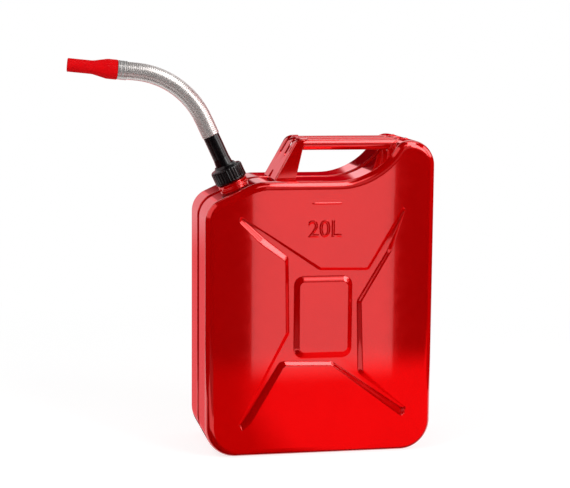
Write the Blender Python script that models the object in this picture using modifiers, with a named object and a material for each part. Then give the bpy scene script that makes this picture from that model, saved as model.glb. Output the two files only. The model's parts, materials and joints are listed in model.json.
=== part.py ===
"""Twenty litre pressed-steel fuel can with a screwed-on flexible pouring spout.

The can stands on its bottom, +Z up and -Y towards the viewer, with the spout at -X.
All sizes are in metres. The origin is the middle of the whole object's base.
"""
import math

import bmesh
import bpy
from mathutils import Vector

MM = 0.001

# Fit between touching pieces
GAP = 0.3 * MM
OVERCUT = 1 * MM

# Can body, seen from the front
BODY_WIDTH = 345 * MM
BODY_DEPTH = 165 * MM
SHOULDER_HEIGHT = 411.5 * MM
HUMP_RISE = 59.5 * MM
HUMP_HEIGHT = SHOULDER_HEIGHT + HUMP_RISE
SHEET = 1.0 * MM
BOTTOM_CORNER_RADIUS = 46 * MM
TOP_CORNER_RADIUS = 38 * MM
HUMP_RADIUS = 25 * MM
DIP_RADIUS = 105 * MM
DIP_ANGLE = math.radians(57)
DIP_FROM_RIGHT = 90.5 * MM
SLOPE_ANGLE = math.radians(25)
SLOPE_FROM_LEFT = 77.7 * MM
SLOPE_TOP_RADIUS = 80 * MM
SLOPE_SIDE_RADIUS = 34 * MM
SHORTEST_EDGE = 1.5 * MM
FACE_EDGE_RADIUS = 12 * MM
FACE_EDGE_SEGMENTS = 3

# Seam recess, all round at mid depth
SEAM_WIDTH = 18 * MM
SEAM_DEPTH = 9 * MM
SEAM_LIP_RADIUS = 2 * MM

# Pressed pattern on each face, from the middle of its raised panel
PATTERN_FROM_MIDDLE = 5 * MM
PATTERN_HEIGHT = 209.5 * MM
PRESS_DEPTH = 4.5 * MM
PRESS_WALL = 4.5 * MM
PANEL_WIDTH = 71 * MM
PANEL_HEIGHT = 106 * MM
PANEL_WALL = 8 * MM
PANEL_CORNER_RADIUS = 8 * MM
FIELD_HALF_WIDTH = 57 * MM
FIELD_HALF_HEIGHT = 71.6 * MM
TOP_FIELD_SPAN = (-3 * MM, 69.5 * MM)
BOTTOM_FIELD_SPAN = (-57 * MM, 19 * MM)
LEFT_FIELD_SPAN = (-26 * MM, 86.5 * MM)
RIGHT_FIELD_SPAN = (-83.5 * MM, 22 * MM)
UPPER_LEFT_TIP = (-128.5 * MM, 150.5 * MM)
UPPER_RIGHT_TIP = (122 * MM, 162 * MM)
UPPER_RIGHT_KNEE = (105 * MM, 99.5 * MM)
LOWER_LEFT_TIP = (-126 * MM, -169.5 * MM)
LOWER_RIGHT_TIP = (130 * MM, -147.5 * MM)

# Handle tubes, bracket and cover
TUBE_RADIUS = 8 * MM
TUBE_WALL = 1.5 * MM
TUBE_SPACING = 37.5 * MM
TUBE_BELOW_HUMP = 0.5 * MM
TUBE_SIDES = 24
BRACKET_FROM_LEFT = 107.5 * MM
BRACKET_ANGLE = math.radians(60.5)
BRACKET_SHEET = 2 * MM
BRACKET_PLATE_RISE = 38 * MM
BRACKET_BEND_RADIUS = 16 * MM
FLANGE_FOOT_WIDTH = 32 * MM
COVER_SHEET = 1.5 * MM
COVER_EDGE_MARGIN = 3 * MM
TONGUE_REACH = 7 * MM
TONGUE_SLOT_WIDTH = 9 * MM
TONGUE_SLOT_LENGTH = 31 * MM
TONGUE_SLOT_DEPTH = 40 * MM
FOOT_ARCH_HEIGHT = 11 * MM
LOBE_HOLE_WIDTH = 3.5 * MM
LOBE_HOLE_LENGTH = 7 * MM
LOBE_HOLE_RADIUS = 1.6 * MM
LOBE_HOLE_RISE = 44 * MM

# Filler neck, with lengths measured along its axis from the sloping shoulder
NECK_DOWN_SLOPE = 26.7 * MM
NECK_COLLAR_RADIUS = 22.5 * MM
NECK_COLLAR_HEIGHT = 6 * MM
NECK_COLLAR_CHAMFER = 1 * MM
NECK_INSIDE_LENGTH = 14 * MM
NECK_WALL = 1.6 * MM
NECK_RADIUS = 18.5 * MM
NECK_HEIGHT = 20 * MM
THREAD_LEAD = 6 * MM
THREAD_RADIUS = 1.7 * MM
THREAD_RISE = 0.2 * MM
THREAD_START = 9.6 * MM
THREAD_TURNS = 1.25
THREAD_CLEARANCE = 0.5 * MM
THREAD_POINTS_PER_TURN = 32

# Gasket, nut and adapter, on the same axis
GASKET_THICKNESS = 2.4 * MM
GASKET_CLEARANCE = 0.4 * MM
FLANGE_THICKNESS = 3 * MM
RUNNING_CLEARANCE = 0.6 * MM
SPIGOT_LENGTH = 9 * MM
SPIGOT_RADIUS = 15.2 * MM
HUB_RADIUS = 13.3 * MM
HUB_TAPER_LENGTH = 10 * MM
ADAPTER_RADIUS = 12.2 * MM
ADAPTER_LENGTH = 81.6 * MM
ADAPTER_CHAMFER = 0.5 * MM
ADAPTER_BORE_RADIUS = 7.4 * MM
NUT_RADIUS = 24.4 * MM
NUT_RIB_DEPTH = 1.2 * MM
NUT_RIBS = 30
NUT_SKIRT_CLEARANCE = 1.6 * MM
NUT_TOP_THICKNESS = 2.8 * MM
NUT_CHAMFER = 1.5 * MM
NUT_CONE_HEIGHT = 4.5 * MM
NUT_CONE_RADIUS = 16 * MM
TURNED_STEPS = 32

# Hose, ferrules and nozzle tip
HOSE_RADIUS = 13.2 * MM
HOSE_ROOT_RADIUS = 11.9 * MM
HOSE_BORE_RADIUS = 10.4 * MM
HOSE_RIBS = 60
HOSE_BEND_RADIUS = 123 * MM
HOSE_BEND_ANGLE = math.radians(59.5)
FERRULE_RADIUS = 9.2 * MM
FERRULE_WALL = 0.8 * MM
FERRULE_GRIP = 20 * MM
SLEEVE_WALL = 0.6 * MM
SLEEVE_LENGTH = 12 * MM
SLEEVE_END = 1.5 * MM
TIP_LENGTH = 73 * MM
TIP_LARGE_RADIUS = 14.7 * MM
TIP_SMALL_RADIUS = 10.0 * MM
TIP_LARGE_LENGTH = 14 * MM
TIP_TAPER_LENGTH = 22 * MM
TIP_BORE_RADIUS = 7.4 * MM

# Vent pipe inside the can
BREATHER_RADIUS = 3 * MM
BREATHER_WALL = 0.7 * MM
BREATHER_DEPTH = 48 * MM
BREATHER_DROP = 32 * MM
BREATHER_TURN = 50 * MM
BREATHER_RISE = 80 * MM
BREATHER_TOP_INSET = 15 * MM
BREATHER_RIM_DROP = 3 * MM
BREATHER_HUMP_DROP = 28 * MM

# Colours, as base colour, roughness and metallic value
RED_PAINT = ((0.62, 0.004, 0.008), 0.12, 0.0)
BLACK_PLASTIC = ((0.012, 0.012, 0.014), 0.35, 0.0)
RED_PLASTIC = ((0.75, 0.01, 0.02), 0.32, 0.0)
BRIGHT_STEEL = ((0.72, 0.71, 0.69), 0.25, 1.0)
BLACK_RUBBER = ((0.02, 0.02, 0.02), 0.7, 0.0)
GREY_STEEL = ((0.45, 0.45, 0.46), 0.4, 1.0)


def clear_scene():
    """Remove every object, so that the script always starts from nothing."""
    for old in list(bpy.data.objects):
        bpy.data.objects.remove(old, do_unlink=True)


def collection(name):
    """Return a collection of this name, linked to the scene."""
    made = bpy.data.collections.get(name) or bpy.data.collections.new(name)
    if made.name not in bpy.context.scene.collection.children:
        bpy.context.scene.collection.children.link(made)
    return made


def material(name, finish):
    """Return a Principled material with this colour, roughness and metallic value."""
    made = bpy.data.materials.get(name) or bpy.data.materials.new(name)
    made.use_nodes = True
    shader = made.node_tree.nodes["Principled BSDF"]
    colour, roughness, metallic = finish
    shader.inputs["Base Color"].default_value = (*colour, 1.0)
    shader.inputs["Roughness"].default_value = roughness
    shader.inputs["Metallic"].default_value = metallic
    return made


def add_object(name, data, parent=None, finish=None):
    """Link a new part object, give it its own material and place it under its parent."""
    made = bpy.data.objects.new(name, data)
    collection("fuel_can").objects.link(made)
    if finish:
        data.materials.append(material(name, finish))
    made.parent = parent
    return made


def add_cutter(name, data, parent=None):
    """Link a shape that only cuts or joins others: hidden from renders and drawn as wire."""
    made = bpy.data.objects.new(name, data)
    collection("cutters").objects.link(made)
    made.parent = parent
    made.hide_render = True
    made.display_type = "WIRE"
    return made


def add_empty(name, parent=None, location=(0, 0, 0), turn=0.0):
    """Add an empty that carries other objects, turned about Y."""
    made = bpy.data.objects.new(name, None)
    collection("fuel_can").objects.link(made)
    made.parent = parent
    made.location = location
    made.rotation_euler = (0, turn, 0)
    return made


def boolean(target, cutter, operation="DIFFERENCE"):
    """Add an exact Boolean modifier to the target."""
    modifier = target.modifiers.new(cutter.name, "BOOLEAN")
    modifier.object = cutter
    modifier.operation = operation
    modifier.solver = "EXACT"
    return modifier


def solid_mesh(source, name):
    """Return the evaluated mesh of an object in its own frame, with its doubles merged."""
    graph = bpy.context.evaluated_depsgraph_get()
    mesh = bpy.data.meshes.new_from_object(source.evaluated_get(graph))
    mesh.name = name
    shape = bmesh.new()
    shape.from_mesh(mesh)
    bmesh.ops.remove_doubles(shape, verts=shape.verts, dist=0.00001)
    bmesh.ops.recalc_face_normals(shape, faces=shape.faces)
    shape.to_mesh(mesh)
    shape.free()
    return mesh


def curve_solid(name, curve):
    """Turn a curve into a closed mesh and remove the curve."""
    holder = bpy.data.objects.new(name, curve)
    bpy.context.scene.collection.objects.link(holder)
    bpy.context.view_layer.update()
    mesh = solid_mesh(holder, name)
    bpy.data.objects.remove(holder, do_unlink=True)
    bpy.data.curves.remove(curve)
    return mesh


def tube_mesh(name, points, radius, sides, scales=None):
    """Closed tube along a list of points; scales gives each point its share of the radius."""
    curve = bpy.data.curves.new(name, "CURVE")
    curve.dimensions = "3D"
    curve.twist_mode = "MINIMUM"
    curve.bevel_depth = radius
    curve.bevel_resolution = (sides - 4) // 2
    curve.use_fill_caps = True
    spline = curve.splines.new("POLY")
    spline.points.add(len(points) - 1)
    for index, point in enumerate(points):
        spline.points[index].co = (*point, 1.0)
        spline.points[index].radius = scales[index] if scales else 1.0
    return curve_solid(name, curve)


def flat_mesh(name, outline, low, high, plane="XZ"):
    """Flat outline filled and extruded from low to high across its plane.

    An XZ outline is extruded along Y, a YZ outline along X and an XY outline along Z.
    """
    curve = bpy.data.curves.new(name, "CURVE")
    curve.dimensions = "2D"
    curve.fill_mode = "BOTH"
    curve.extrude = (high - low) / 2
    spline = curve.splines.new("POLY")
    spline.points.add(len(outline) - 1)
    for index, (across, up) in enumerate(outline):
        spline.points[index].co = (across, up, 0.0, 1.0)
    spline.use_cyclic_u = True
    mesh = curve_solid(name, curve)
    middle = (high + low) / 2
    for vertex in mesh.vertices:
        across, up, depth = vertex.co
        if plane == "XZ":
            vertex.co = (across, middle - depth, up)
        elif plane == "YZ":
            vertex.co = (middle + depth, across, up)
        else:
            vertex.co = (across, up, middle + depth)
    return mesh


def turned_mesh(name, profile, steps=TURNED_STEPS):
    """Solid of revolution about Z, from a closed profile of (radius, height) points.

    The profile runs down its outer side and back up its inner side or the axis.
    """
    mesh = bpy.data.meshes.new(name)
    count = len(profile)
    closed = all(radius > 0 for radius, _ in profile)
    edges = [(index, (index + 1) % count) for index in range(count if closed else count - 1)]
    mesh.from_pydata([(radius, 0, height) for radius, height in profile], edges, [])
    holder = bpy.data.objects.new(name, mesh)
    bpy.context.scene.collection.objects.link(holder)
    screw = holder.modifiers.new("turn", "SCREW")
    screw.steps = steps
    screw.render_steps = steps
    screw.use_merge_vertices = True
    screw.merge_threshold = 0.00001
    bpy.context.view_layer.update()
    solid = solid_mesh(holder, name)
    bpy.data.objects.remove(holder, do_unlink=True)
    bpy.data.meshes.remove(mesh)
    return solid


def smooth(mesh, angle=math.radians(32)):
    """Shade a round piece smooth, with its true edges kept sharp."""
    mesh.shade_smooth()
    mesh.set_sharp_from_angle(angle=angle)
    return mesh


def crossing(first, second):
    """Point where two lines meet, each given as a point and a direction angle."""
    (ax, az), angle_a = first
    (bx, bz), angle_b = second
    dax, daz = math.cos(angle_a), math.sin(angle_a)
    dbx, dbz = math.cos(angle_b), math.sin(angle_b)
    along = ((bx - ax) * dbz - (bz - az) * dbx) / (dax * dbz - daz * dbx)
    return ax + dax * along, az + daz * along


def moved_line(line, inset):
    """The same line moved to its left by the inset."""
    (x, z), angle = line
    return (x - math.sin(angle) * inset, z + math.cos(angle) * inset), angle


def corner_arc(before, after, radius, segments):
    """Points of the round corner between two lines, for a left or a right turn."""
    x, z = crossing(before, after)
    start_angle = before[1]
    turn = (after[1] - start_angle + math.pi) % (2 * math.pi) - math.pi
    side = 1 if turn > 0 else -1
    reach = radius * math.tan(abs(turn) / 2)
    start_x = x - math.cos(start_angle) * reach
    start_z = z - math.sin(start_angle) * reach
    centre_x = start_x - math.sin(start_angle) * radius * side
    centre_z = start_z + math.cos(start_angle) * radius * side
    points = []
    for step in range(segments + 1):
        angle = start_angle + turn * step / segments
        points.append((centre_x + math.sin(angle) * radius * side,
                       centre_z - math.cos(angle) * radius * side))
    return points


def slope_corner():
    """Where the flat shoulder breaks into the slope that carries the neck."""
    return -BODY_WIDTH / 2 + SLOPE_FROM_LEFT, SHOULDER_HEIGHT


def neck_foot():
    """Point on the slope that the neck's axis passes through."""
    x, z = slope_corner()
    return (x - math.cos(SLOPE_ANGLE) * NECK_DOWN_SLOPE,
            z - math.sin(SLOPE_ANGLE) * NECK_DOWN_SLOPE)


def body_outline(inset=0.0):
    """Outline of the can seen from the front, anticlockwise, moved inward by the inset."""
    right = BODY_WIDTH / 2
    sides = [
        ((0, 0), 0.0),
        ((right, 0), math.pi / 2),
        ((0, HUMP_HEIGHT), math.pi),
        ((right - DIP_FROM_RIGHT, SHOULDER_HEIGHT), math.pi + DIP_ANGLE),
        ((0, SHOULDER_HEIGHT), math.pi),
        (slope_corner(), math.pi + SLOPE_ANGLE),
        ((-right, 0), 3 * math.pi / 2),
    ]
    corners = [
        (BOTTOM_CORNER_RADIUS - inset, 7),
        (TOP_CORNER_RADIUS - inset, 7),
        (HUMP_RADIUS - inset, 5),
        (DIP_RADIUS + inset, 8),
        (SLOPE_TOP_RADIUS - inset, 3),
        (SLOPE_SIDE_RADIUS - inset, 6),
        (BOTTOM_CORNER_RADIUS - inset, 7),
    ]
    lines = [moved_line(line, inset) for line in sides]
    points = []
    for index, (radius, segments) in enumerate(corners):
        after = lines[(index + 1) % len(lines)]
        arc = corner_arc(lines[index], after, radius, segments)
        if points and math.dist(points[-1], arc[0]) < SHORTEST_EDGE:
            arc = arc[1:]
        points += arc
    return points


def hose_straight():
    """Straight length at each end of the hose: one hose diameter."""
    return 2 * HOSE_RADIUS


def hose_start():
    """Height of the hose's lower end along the neck's axis."""
    return ADAPTER_LENGTH + GAP


def hose_length():
    """Length of the hose along its middle line."""
    return 2 * hose_straight() + HOSE_BEND_RADIUS * HOSE_BEND_ANGLE


def hose_place(distance):
    """Point (across, along) on the hose's middle line and its lean, in the neck's frame."""
    straight = hose_straight()
    low = hose_start()
    bend = HOSE_BEND_RADIUS * HOSE_BEND_ANGLE
    if distance <= straight:
        return 0.0, low + distance, 0.0
    lean = min((distance - straight) / HOSE_BEND_RADIUS, HOSE_BEND_ANGLE)
    across = -HOSE_BEND_RADIUS * (1 - math.cos(lean))
    along = low + straight + HOSE_BEND_RADIUS * math.sin(lean)
    rest = max(0.0, distance - straight - bend)
    return across - math.sin(lean) * rest, along + math.cos(lean) * rest, lean


def middle_shift():
    """Distance from the middle of the can to the middle of the whole object, along X."""
    foot_x, _ = neck_foot()
    across, along, lean = hose_place(hose_length())
    reach = GAP + SLEEVE_END + GAP + TIP_LENGTH
    across -= math.sin(lean) * reach
    along += math.cos(lean) * reach
    end_x = foot_x + across * math.cos(SLOPE_ANGLE) - along * math.sin(SLOPE_ANGLE)
    tip_x = end_x - TIP_SMALL_RADIUS * math.cos(SLOPE_ANGLE + lean)
    return -(tip_x + BODY_WIDTH / 2) / 2


def channel_outline(inset=0.0):
    """Outline of the recessed X in X and Z, clockwise, moved inward by the inset."""
    corners = [
        (TOP_FIELD_SPAN[0], FIELD_HALF_HEIGHT),
        (TOP_FIELD_SPAN[1], FIELD_HALF_HEIGHT),
        UPPER_RIGHT_TIP,
        UPPER_RIGHT_KNEE,
        (FIELD_HALF_WIDTH, RIGHT_FIELD_SPAN[1]),
        (FIELD_HALF_WIDTH, RIGHT_FIELD_SPAN[0]),
        LOWER_RIGHT_TIP,
        (BOTTOM_FIELD_SPAN[1], -FIELD_HALF_HEIGHT),
        (BOTTOM_FIELD_SPAN[0], -FIELD_HALF_HEIGHT),
        LOWER_LEFT_TIP,
        (-FIELD_HALF_WIDTH, LEFT_FIELD_SPAN[0]),
        (-FIELD_HALF_WIDTH, LEFT_FIELD_SPAN[1]),
        UPPER_LEFT_TIP,
    ]
    corners = [(PATTERN_FROM_MIDDLE + x, PATTERN_HEIGHT + z) for x, z in corners]
    lines = []
    for (x, z), (after_x, after_z) in zip(corners, corners[1:] + corners[:1]):
        angle = math.atan2(after_z - z, after_x - x)
        lines.append(moved_line(((x, z), angle), -inset))
    return [crossing(before, after) for before, after in zip(lines[-1:] + lines[:-1], lines)]


def channel_mesh(name):
    """Recess of the pressed X: a loft from its mouth at the face to its narrower floor."""
    face = -BODY_DEPTH / 2
    shape = bmesh.new()
    rings = []
    for level, inset in ((-PRESS_DEPTH, 0.0), (0.0, 0.0), (PRESS_DEPTH, PRESS_WALL)):
        rings.append([shape.verts.new((x, face + level, z)) for x, z in channel_outline(inset)])
    shape.faces.new(rings[0])
    shape.faces.new(list(reversed(rings[-1])))
    for outer, inner in zip(rings, rings[1:]):
        for index in range(len(outer)):
            after = (index + 1) % len(outer)
            shape.faces.new((outer[index], inner[index], inner[after], outer[after]))
    bmesh.ops.recalc_face_normals(shape, faces=shape.faces)
    mesh = bpy.data.meshes.new(name)
    shape.to_mesh(mesh)
    shape.free()
    return mesh


def hull_mesh(name, points):
    """Convex solid around a set of points."""
    shape = bmesh.new()
    for point in points:
        shape.verts.new(point)
    result = bmesh.ops.convex_hull(shape, input=shape.verts)
    inside = [item for item in result["geom_interior"] if isinstance(item, bmesh.types.BMVert)]
    bmesh.ops.delete(shape, geom=inside, context="VERTS")
    bmesh.ops.recalc_face_normals(shape, faces=shape.faces)
    mesh = bpy.data.meshes.new(name)
    shape.to_mesh(mesh)
    shape.free()
    return mesh


def rounded_rectangle(width, height, radius, segments=4):
    """Outline of a rectangle with round corners about the origin, anticlockwise."""
    points = []
    for quarter, (sign_x, sign_z) in enumerate(((1, -1), (1, 1), (-1, 1), (-1, -1))):
        centre_x = sign_x * (width / 2 - radius)
        centre_z = sign_z * (height / 2 - radius)
        for step in range(segments + 1):
            angle = math.radians(-90 + 90 * quarter + 90 * step / segments)
            points.append((centre_x + math.cos(angle) * radius,
                           centre_z + math.sin(angle) * radius))
    return points


def panel_mesh(name):
    """Raised middle panel: a round-cornered block that widens down to the recess floor."""
    face = -BODY_DEPTH / 2
    points = []
    for level, spread in ((0.0, 0.0), (PRESS_DEPTH, PANEL_WALL)):
        ring = rounded_rectangle(PANEL_WIDTH + 2 * spread, PANEL_HEIGHT + 2 * spread,
                                 PANEL_CORNER_RADIUS + spread)
        points += [(PATTERN_FROM_MIDDLE + x, face + level, PATTERN_HEIGHT + z) for x, z in ring]
        if spread:
            points += [(PATTERN_FROM_MIDDLE + x, face + level + PRESS_DEPTH, PATTERN_HEIGHT + z)
                       for x, z in ring]
    return hull_mesh(name, points)


def half_blank():
    """Solid block of one half: the outline, its round face edge and the step into the seam."""
    shape = bmesh.new()
    weight = shape.edges.layers.float.new("bevel_weight_edge")
    seam_side = -SEAM_WIDTH / 2
    outline = [shape.verts.new((x, seam_side, z)) for x, z in body_outline()]
    seam_face = shape.faces.new(outline)
    for edge in seam_face.edges:
        edge[weight] = SEAM_LIP_RADIUS / FACE_EDGE_RADIUS
    grown = bmesh.ops.extrude_face_region(shape, geom=[seam_face], use_keep_orig=True)
    front = [item for item in grown["geom"] if isinstance(item, bmesh.types.BMFace)]
    front_verts = [item for item in grown["geom"] if isinstance(item, bmesh.types.BMVert)]
    depth = BODY_DEPTH / 2 - SEAM_WIDTH / 2
    bmesh.ops.translate(shape, verts=front_verts, vec=(0, -depth, 0))
    for edge in front[0].edges:
        edge[weight] = 1.0
    bmesh.ops.recalc_face_normals(shape, faces=shape.faces)
    bmesh.ops.inset_region(shape, faces=[seam_face], thickness=SEAM_DEPTH,
                           use_even_offset=True)
    step = bmesh.ops.extrude_face_region(shape, geom=[seam_face])
    step_verts = [item for item in step["geom"] if isinstance(item, bmesh.types.BMVert)]
    rise = SEAM_WIDTH / 2 - GAP / 2
    bmesh.ops.translate(shape, verts=step_verts, vec=(0, rise, 0))
    bmesh.ops.delete(shape, geom=[seam_face], context="FACES")
    bmesh.ops.recalc_face_normals(shape, faces=shape.faces)
    mesh = bpy.data.meshes.new("half_blank")
    shape.to_mesh(mesh)
    shape.free()
    return mesh


def pressed_half():
    """Open sheet surface of one half, with its face pattern pressed in."""
    blank = add_cutter("half_blank", half_blank())
    bevel = blank.modifiers.new("round_edges", "BEVEL")
    bevel.limit_method = "WEIGHT"
    bevel.width = FACE_EDGE_RADIUS
    bevel.segments = FACE_EDGE_SEGMENTS
    bevel.use_clamp_overlap = False
    boolean(blank, add_cutter("pattern_channel", channel_mesh("pattern_channel")))
    boolean(blank, add_cutter("pattern_panel", panel_mesh("pattern_panel")), "UNION")
    bpy.context.view_layer.update()
    sheet = solid_mesh(blank, "half_sheet")
    shape = bmesh.new()
    shape.from_mesh(sheet)
    seam = [face for face in shape.faces
            if all(vertex.co.y > -GAP for vertex in face.verts)]
    bmesh.ops.delete(shape, geom=seam, context="FACES")
    bmesh.ops.dissolve_limit(shape, angle_limit=math.radians(0.2), verts=shape.verts,
                             edges=shape.edges)
    shape.to_mesh(sheet)
    shape.free()
    bpy.data.objects.remove(blank, do_unlink=True)
    return sheet


def add_shell(name, mesh, parent, neck_hole):
    """One pressed half: the sheet surface given its thickness, with the neck's hole."""
    shell = add_object(name, mesh, parent, RED_PAINT)
    solidify = shell.modifiers.new("sheet", "SOLIDIFY")
    solidify.thickness = SHEET
    solidify.offset = -1
    solidify.use_even_offset = True
    boolean(shell, neck_hole)
    return shell


def add_body(can, neck):
    """Both pressed halves; the rear one mirrors the front one across the seam."""
    hole = turned_mesh("neck_hole", [
        (0, SPIGOT_LENGTH + NECK_INSIDE_LENGTH),
        (NECK_COLLAR_RADIUS + GAP, SPIGOT_LENGTH + NECK_INSIDE_LENGTH),
        (NECK_COLLAR_RADIUS + GAP, -NECK_INSIDE_LENGTH - SEAM_DEPTH),
        (0, -NECK_INSIDE_LENGTH - SEAM_DEPTH),
    ])
    neck_hole = add_cutter("neck_hole", hole, neck)
    front = pressed_half()
    rear = front.copy()
    for vertex in rear.vertices:
        vertex.co.y = -vertex.co.y
    rear.flip_normals()
    add_shell("front_shell", front, can, neck_hole)
    add_shell("rear_shell", rear, can, neck_hole)


def bracket_foot():
    """Foot of the cover's outer face, just above the shoulder."""
    return -BODY_WIDTH / 2 + BRACKET_FROM_LEFT, SHOULDER_HEIGHT + GAP


def tube_height():
    """Height of the handle tubes' axes: their tops lie just under the hump's top."""
    return HUMP_HEIGHT - TUBE_BELOW_HUMP - TUBE_RADIUS


def cover_path(inset, reach):
    """Line up the slanted plate and over the tubes, moved inward by the inset."""
    foot = bracket_foot()
    top = tube_height() + TUBE_RADIUS + GAP + COVER_SHEET
    slant = moved_line((foot, BRACKET_ANGLE), -inset)
    flat = moved_line(((0, top), 0.0), -inset)
    base = ((0, foot[1]), 0.0)
    bend = corner_arc(slant, flat, BRACKET_BEND_RADIUS - inset, 5)
    end_x = bend[-1][0] + reach
    return [crossing(slant, base)] + bend + [(end_x, bend[-1][1])]


def bracket_half_width():
    """Half the bracket's width: its flanges stand just outside the outer tubes."""
    return TUBE_SPACING + TUBE_RADIUS + GAP + BRACKET_SHEET


def foot_arch(name, parent):
    """Arched notch in the foot of bracket and cover, where the seam recess passes under."""
    foot_x, foot_z = bracket_foot()
    half = SEAM_WIDTH / 2
    outline = [(-half, foot_z - OVERCUT), (half, foot_z - OVERCUT), (half / 2, foot_z + FOOT_ARCH_HEIGHT),
               (-half / 2, foot_z + FOOT_ARCH_HEIGHT)]
    mesh = flat_mesh(name, outline, foot_x - BRACKET_SHEET, foot_x + FLANGE_FOOT_WIDTH, "YZ")
    return add_cutter(name, mesh, parent)


def add_bracket(can):
    """Bent channel on the shoulder: a short slanted plate with a flange at each end."""
    inset = COVER_SHEET + GAP
    half = bracket_half_width()
    outer = cover_path(inset, 0.0)
    inner = cover_path(inset + BRACKET_SHEET, 0.0)
    foot_x, foot_z = bracket_foot()
    share = BRACKET_PLATE_RISE / (outer[1][1] - outer[0][1])
    plate_top = [tuple(a + (b - a) * share for a, b in zip(path[0], path[1]))
                 for path in (outer, inner)]
    plate = [outer[0], plate_top[0], plate_top[1], inner[0]]
    flange_right = foot_x + FLANGE_FOOT_WIDTH
    top_x, top_z = outer[-1]
    flange = outer + [(top_x, top_z - TUBE_RADIUS), (flange_right, foot_z)]
    mesh = flat_mesh("handle_bracket", list(reversed(plate)), -half, half)
    bracket = add_object("handle_bracket", mesh, can, RED_PAINT)
    for label, low in (("front", -half), ("rear", half - BRACKET_SHEET)):
        side = flat_mesh("flange_" + label, list(reversed(flange)), low, low + BRACKET_SHEET)
        boolean(bracket, add_cutter("flange_" + label, side, can), "UNION")
    boolean(bracket, foot_arch("bracket_arch", can))
    return bracket


def add_cover(can):
    """Slanted outer plate whose three tongues bend over the ends of the tubes."""
    outer = cover_path(0.0, TONGUE_REACH)
    inner = cover_path(COVER_SHEET, TONGUE_REACH)
    half = bracket_half_width() - COVER_EDGE_MARGIN
    outline = outer + list(reversed(inner))
    mesh = flat_mesh("handle_cover", list(reversed(outline)), -half, half)
    cover = add_object("handle_cover", mesh, can, RED_PAINT)
    end_x = outer[-1][0]
    top_z = outer[-1][1]
    slot_radius = TONGUE_SLOT_WIDTH / 2
    round_x = end_x - TONGUE_SLOT_LENGTH + slot_radius
    for label, y in (("front", -TUBE_SPACING / 2), ("rear", TUBE_SPACING / 2)):
        outline = [(end_x + OVERCUT, y - slot_radius), (end_x + OVERCUT, y + slot_radius)]
        for step in range(9):
            angle = math.radians(90 + 180 * step / 8)
            outline.append((round_x + math.cos(angle) * slot_radius,
                            y + math.sin(angle) * slot_radius))
        slot = flat_mesh("slot_" + label, outline, top_z - TONGUE_SLOT_DEPTH, top_z + OVERCUT, "XY")
        boolean(cover, add_cutter("slot_" + label, slot, can))
    foot_x, foot_z = bracket_foot()
    for label, y in (("front", -TUBE_SPACING), ("rear", TUBE_SPACING)):
        hole = rounded_rectangle(LOBE_HOLE_WIDTH, LOBE_HOLE_LENGTH, LOBE_HOLE_RADIUS, 3)
        hole = [(y + across, foot_z + LOBE_HOLE_RISE + up) for across, up in hole]
        mesh = flat_mesh("lobe_hole_" + label, hole, foot_x, foot_x + FLANGE_FOOT_WIDTH, "YZ")
        boolean(cover, add_cutter("lobe_hole_" + label, mesh, can))
    boolean(cover, foot_arch("cover_arch", can))
    return cover


def add_tube_handle(name, y, seat_inset, can):
    """One straight handle tube, its end cut to the can's skin that it butts against."""
    height = tube_height()
    left = cover_path(COVER_SHEET, 0.0)[-1][0] + GAP
    right = BODY_WIDTH / 2 - TOP_CORNER_RADIUS
    mesh = tube_mesh(name, [(left, y, height), (right, y, height)], TUBE_RADIUS, TUBE_SIDES)
    tube = add_object(name, smooth(mesh), can, RED_PAINT)
    bore = tube_mesh(name + "_bore", [(left - OVERCUT, y, height), (right + OVERCUT, y, height)],
                     TUBE_RADIUS - TUBE_WALL, TUBE_SIDES)
    boolean(tube, add_cutter(name + "_bore", bore, can))
    skin = flat_mesh(name + "_seat", body_outline(seat_inset - GAP),
                     y - TUBE_RADIUS - OVERCUT, y + TUBE_RADIUS + OVERCUT)
    boolean(tube, add_cutter(name + "_seat", skin, can))
    return tube


def add_handles(can):
    """Three parallel tubes; the middle one ends in the seam recess."""
    add_tube_handle("handle_bar_front", -TUBE_SPACING, 0.0, can)
    add_tube_handle("handle_bar_middle", 0.0, SEAM_DEPTH, can)
    add_tube_handle("handle_bar_rear", TUBE_SPACING, 0.0, can)


def thread_points(low, turns):
    """Points along the thread's helix, from its lower end."""
    count = round(turns * THREAD_POINTS_PER_TURN)
    radius = NECK_RADIUS + THREAD_RISE
    points = []
    for step in range(count + 1):
        turn = step / THREAD_POINTS_PER_TURN
        angle = 2 * math.pi * (turn + (low - THREAD_START) / THREAD_LEAD)
        points.append((math.cos(angle) * radius, math.sin(angle) * radius,
                       low + THREAD_LEAD * turn))
    return points


def add_neck(neck):
    """Filler neck: a collar through both halves, stepped in to a threaded rim."""
    low = -NECK_INSIDE_LENGTH
    collar_bore = NECK_COLLAR_RADIUS - NECK_WALL
    bore = NECK_RADIUS - NECK_WALL
    mesh = turned_mesh("filler_neck", [
        (NECK_RADIUS, NECK_HEIGHT),
        (NECK_RADIUS, NECK_COLLAR_HEIGHT + NECK_COLLAR_CHAMFER),
        (NECK_COLLAR_RADIUS - NECK_COLLAR_CHAMFER, NECK_COLLAR_HEIGHT),
        (NECK_COLLAR_RADIUS, NECK_COLLAR_HEIGHT - NECK_COLLAR_CHAMFER),
        (NECK_COLLAR_RADIUS, low),
        (collar_bore, low),
        (collar_bore, NECK_COLLAR_HEIGHT - NECK_WALL - NECK_COLLAR_CHAMFER),
        (bore, NECK_COLLAR_HEIGHT - NECK_WALL),
        (bore, NECK_HEIGHT),
    ])
    filler = add_object("filler_neck", smooth(mesh), neck, RED_PAINT)
    ridge = tube_mesh("neck_thread", thread_points(THREAD_START, THREAD_TURNS), THREAD_RADIUS, 8)
    boolean(filler, add_cutter("neck_thread", ridge, neck), "UNION")
    return filler


def gasket_low():
    """Height of the gasket's underside, on the neck's rim."""
    return NECK_HEIGHT + GAP


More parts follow.
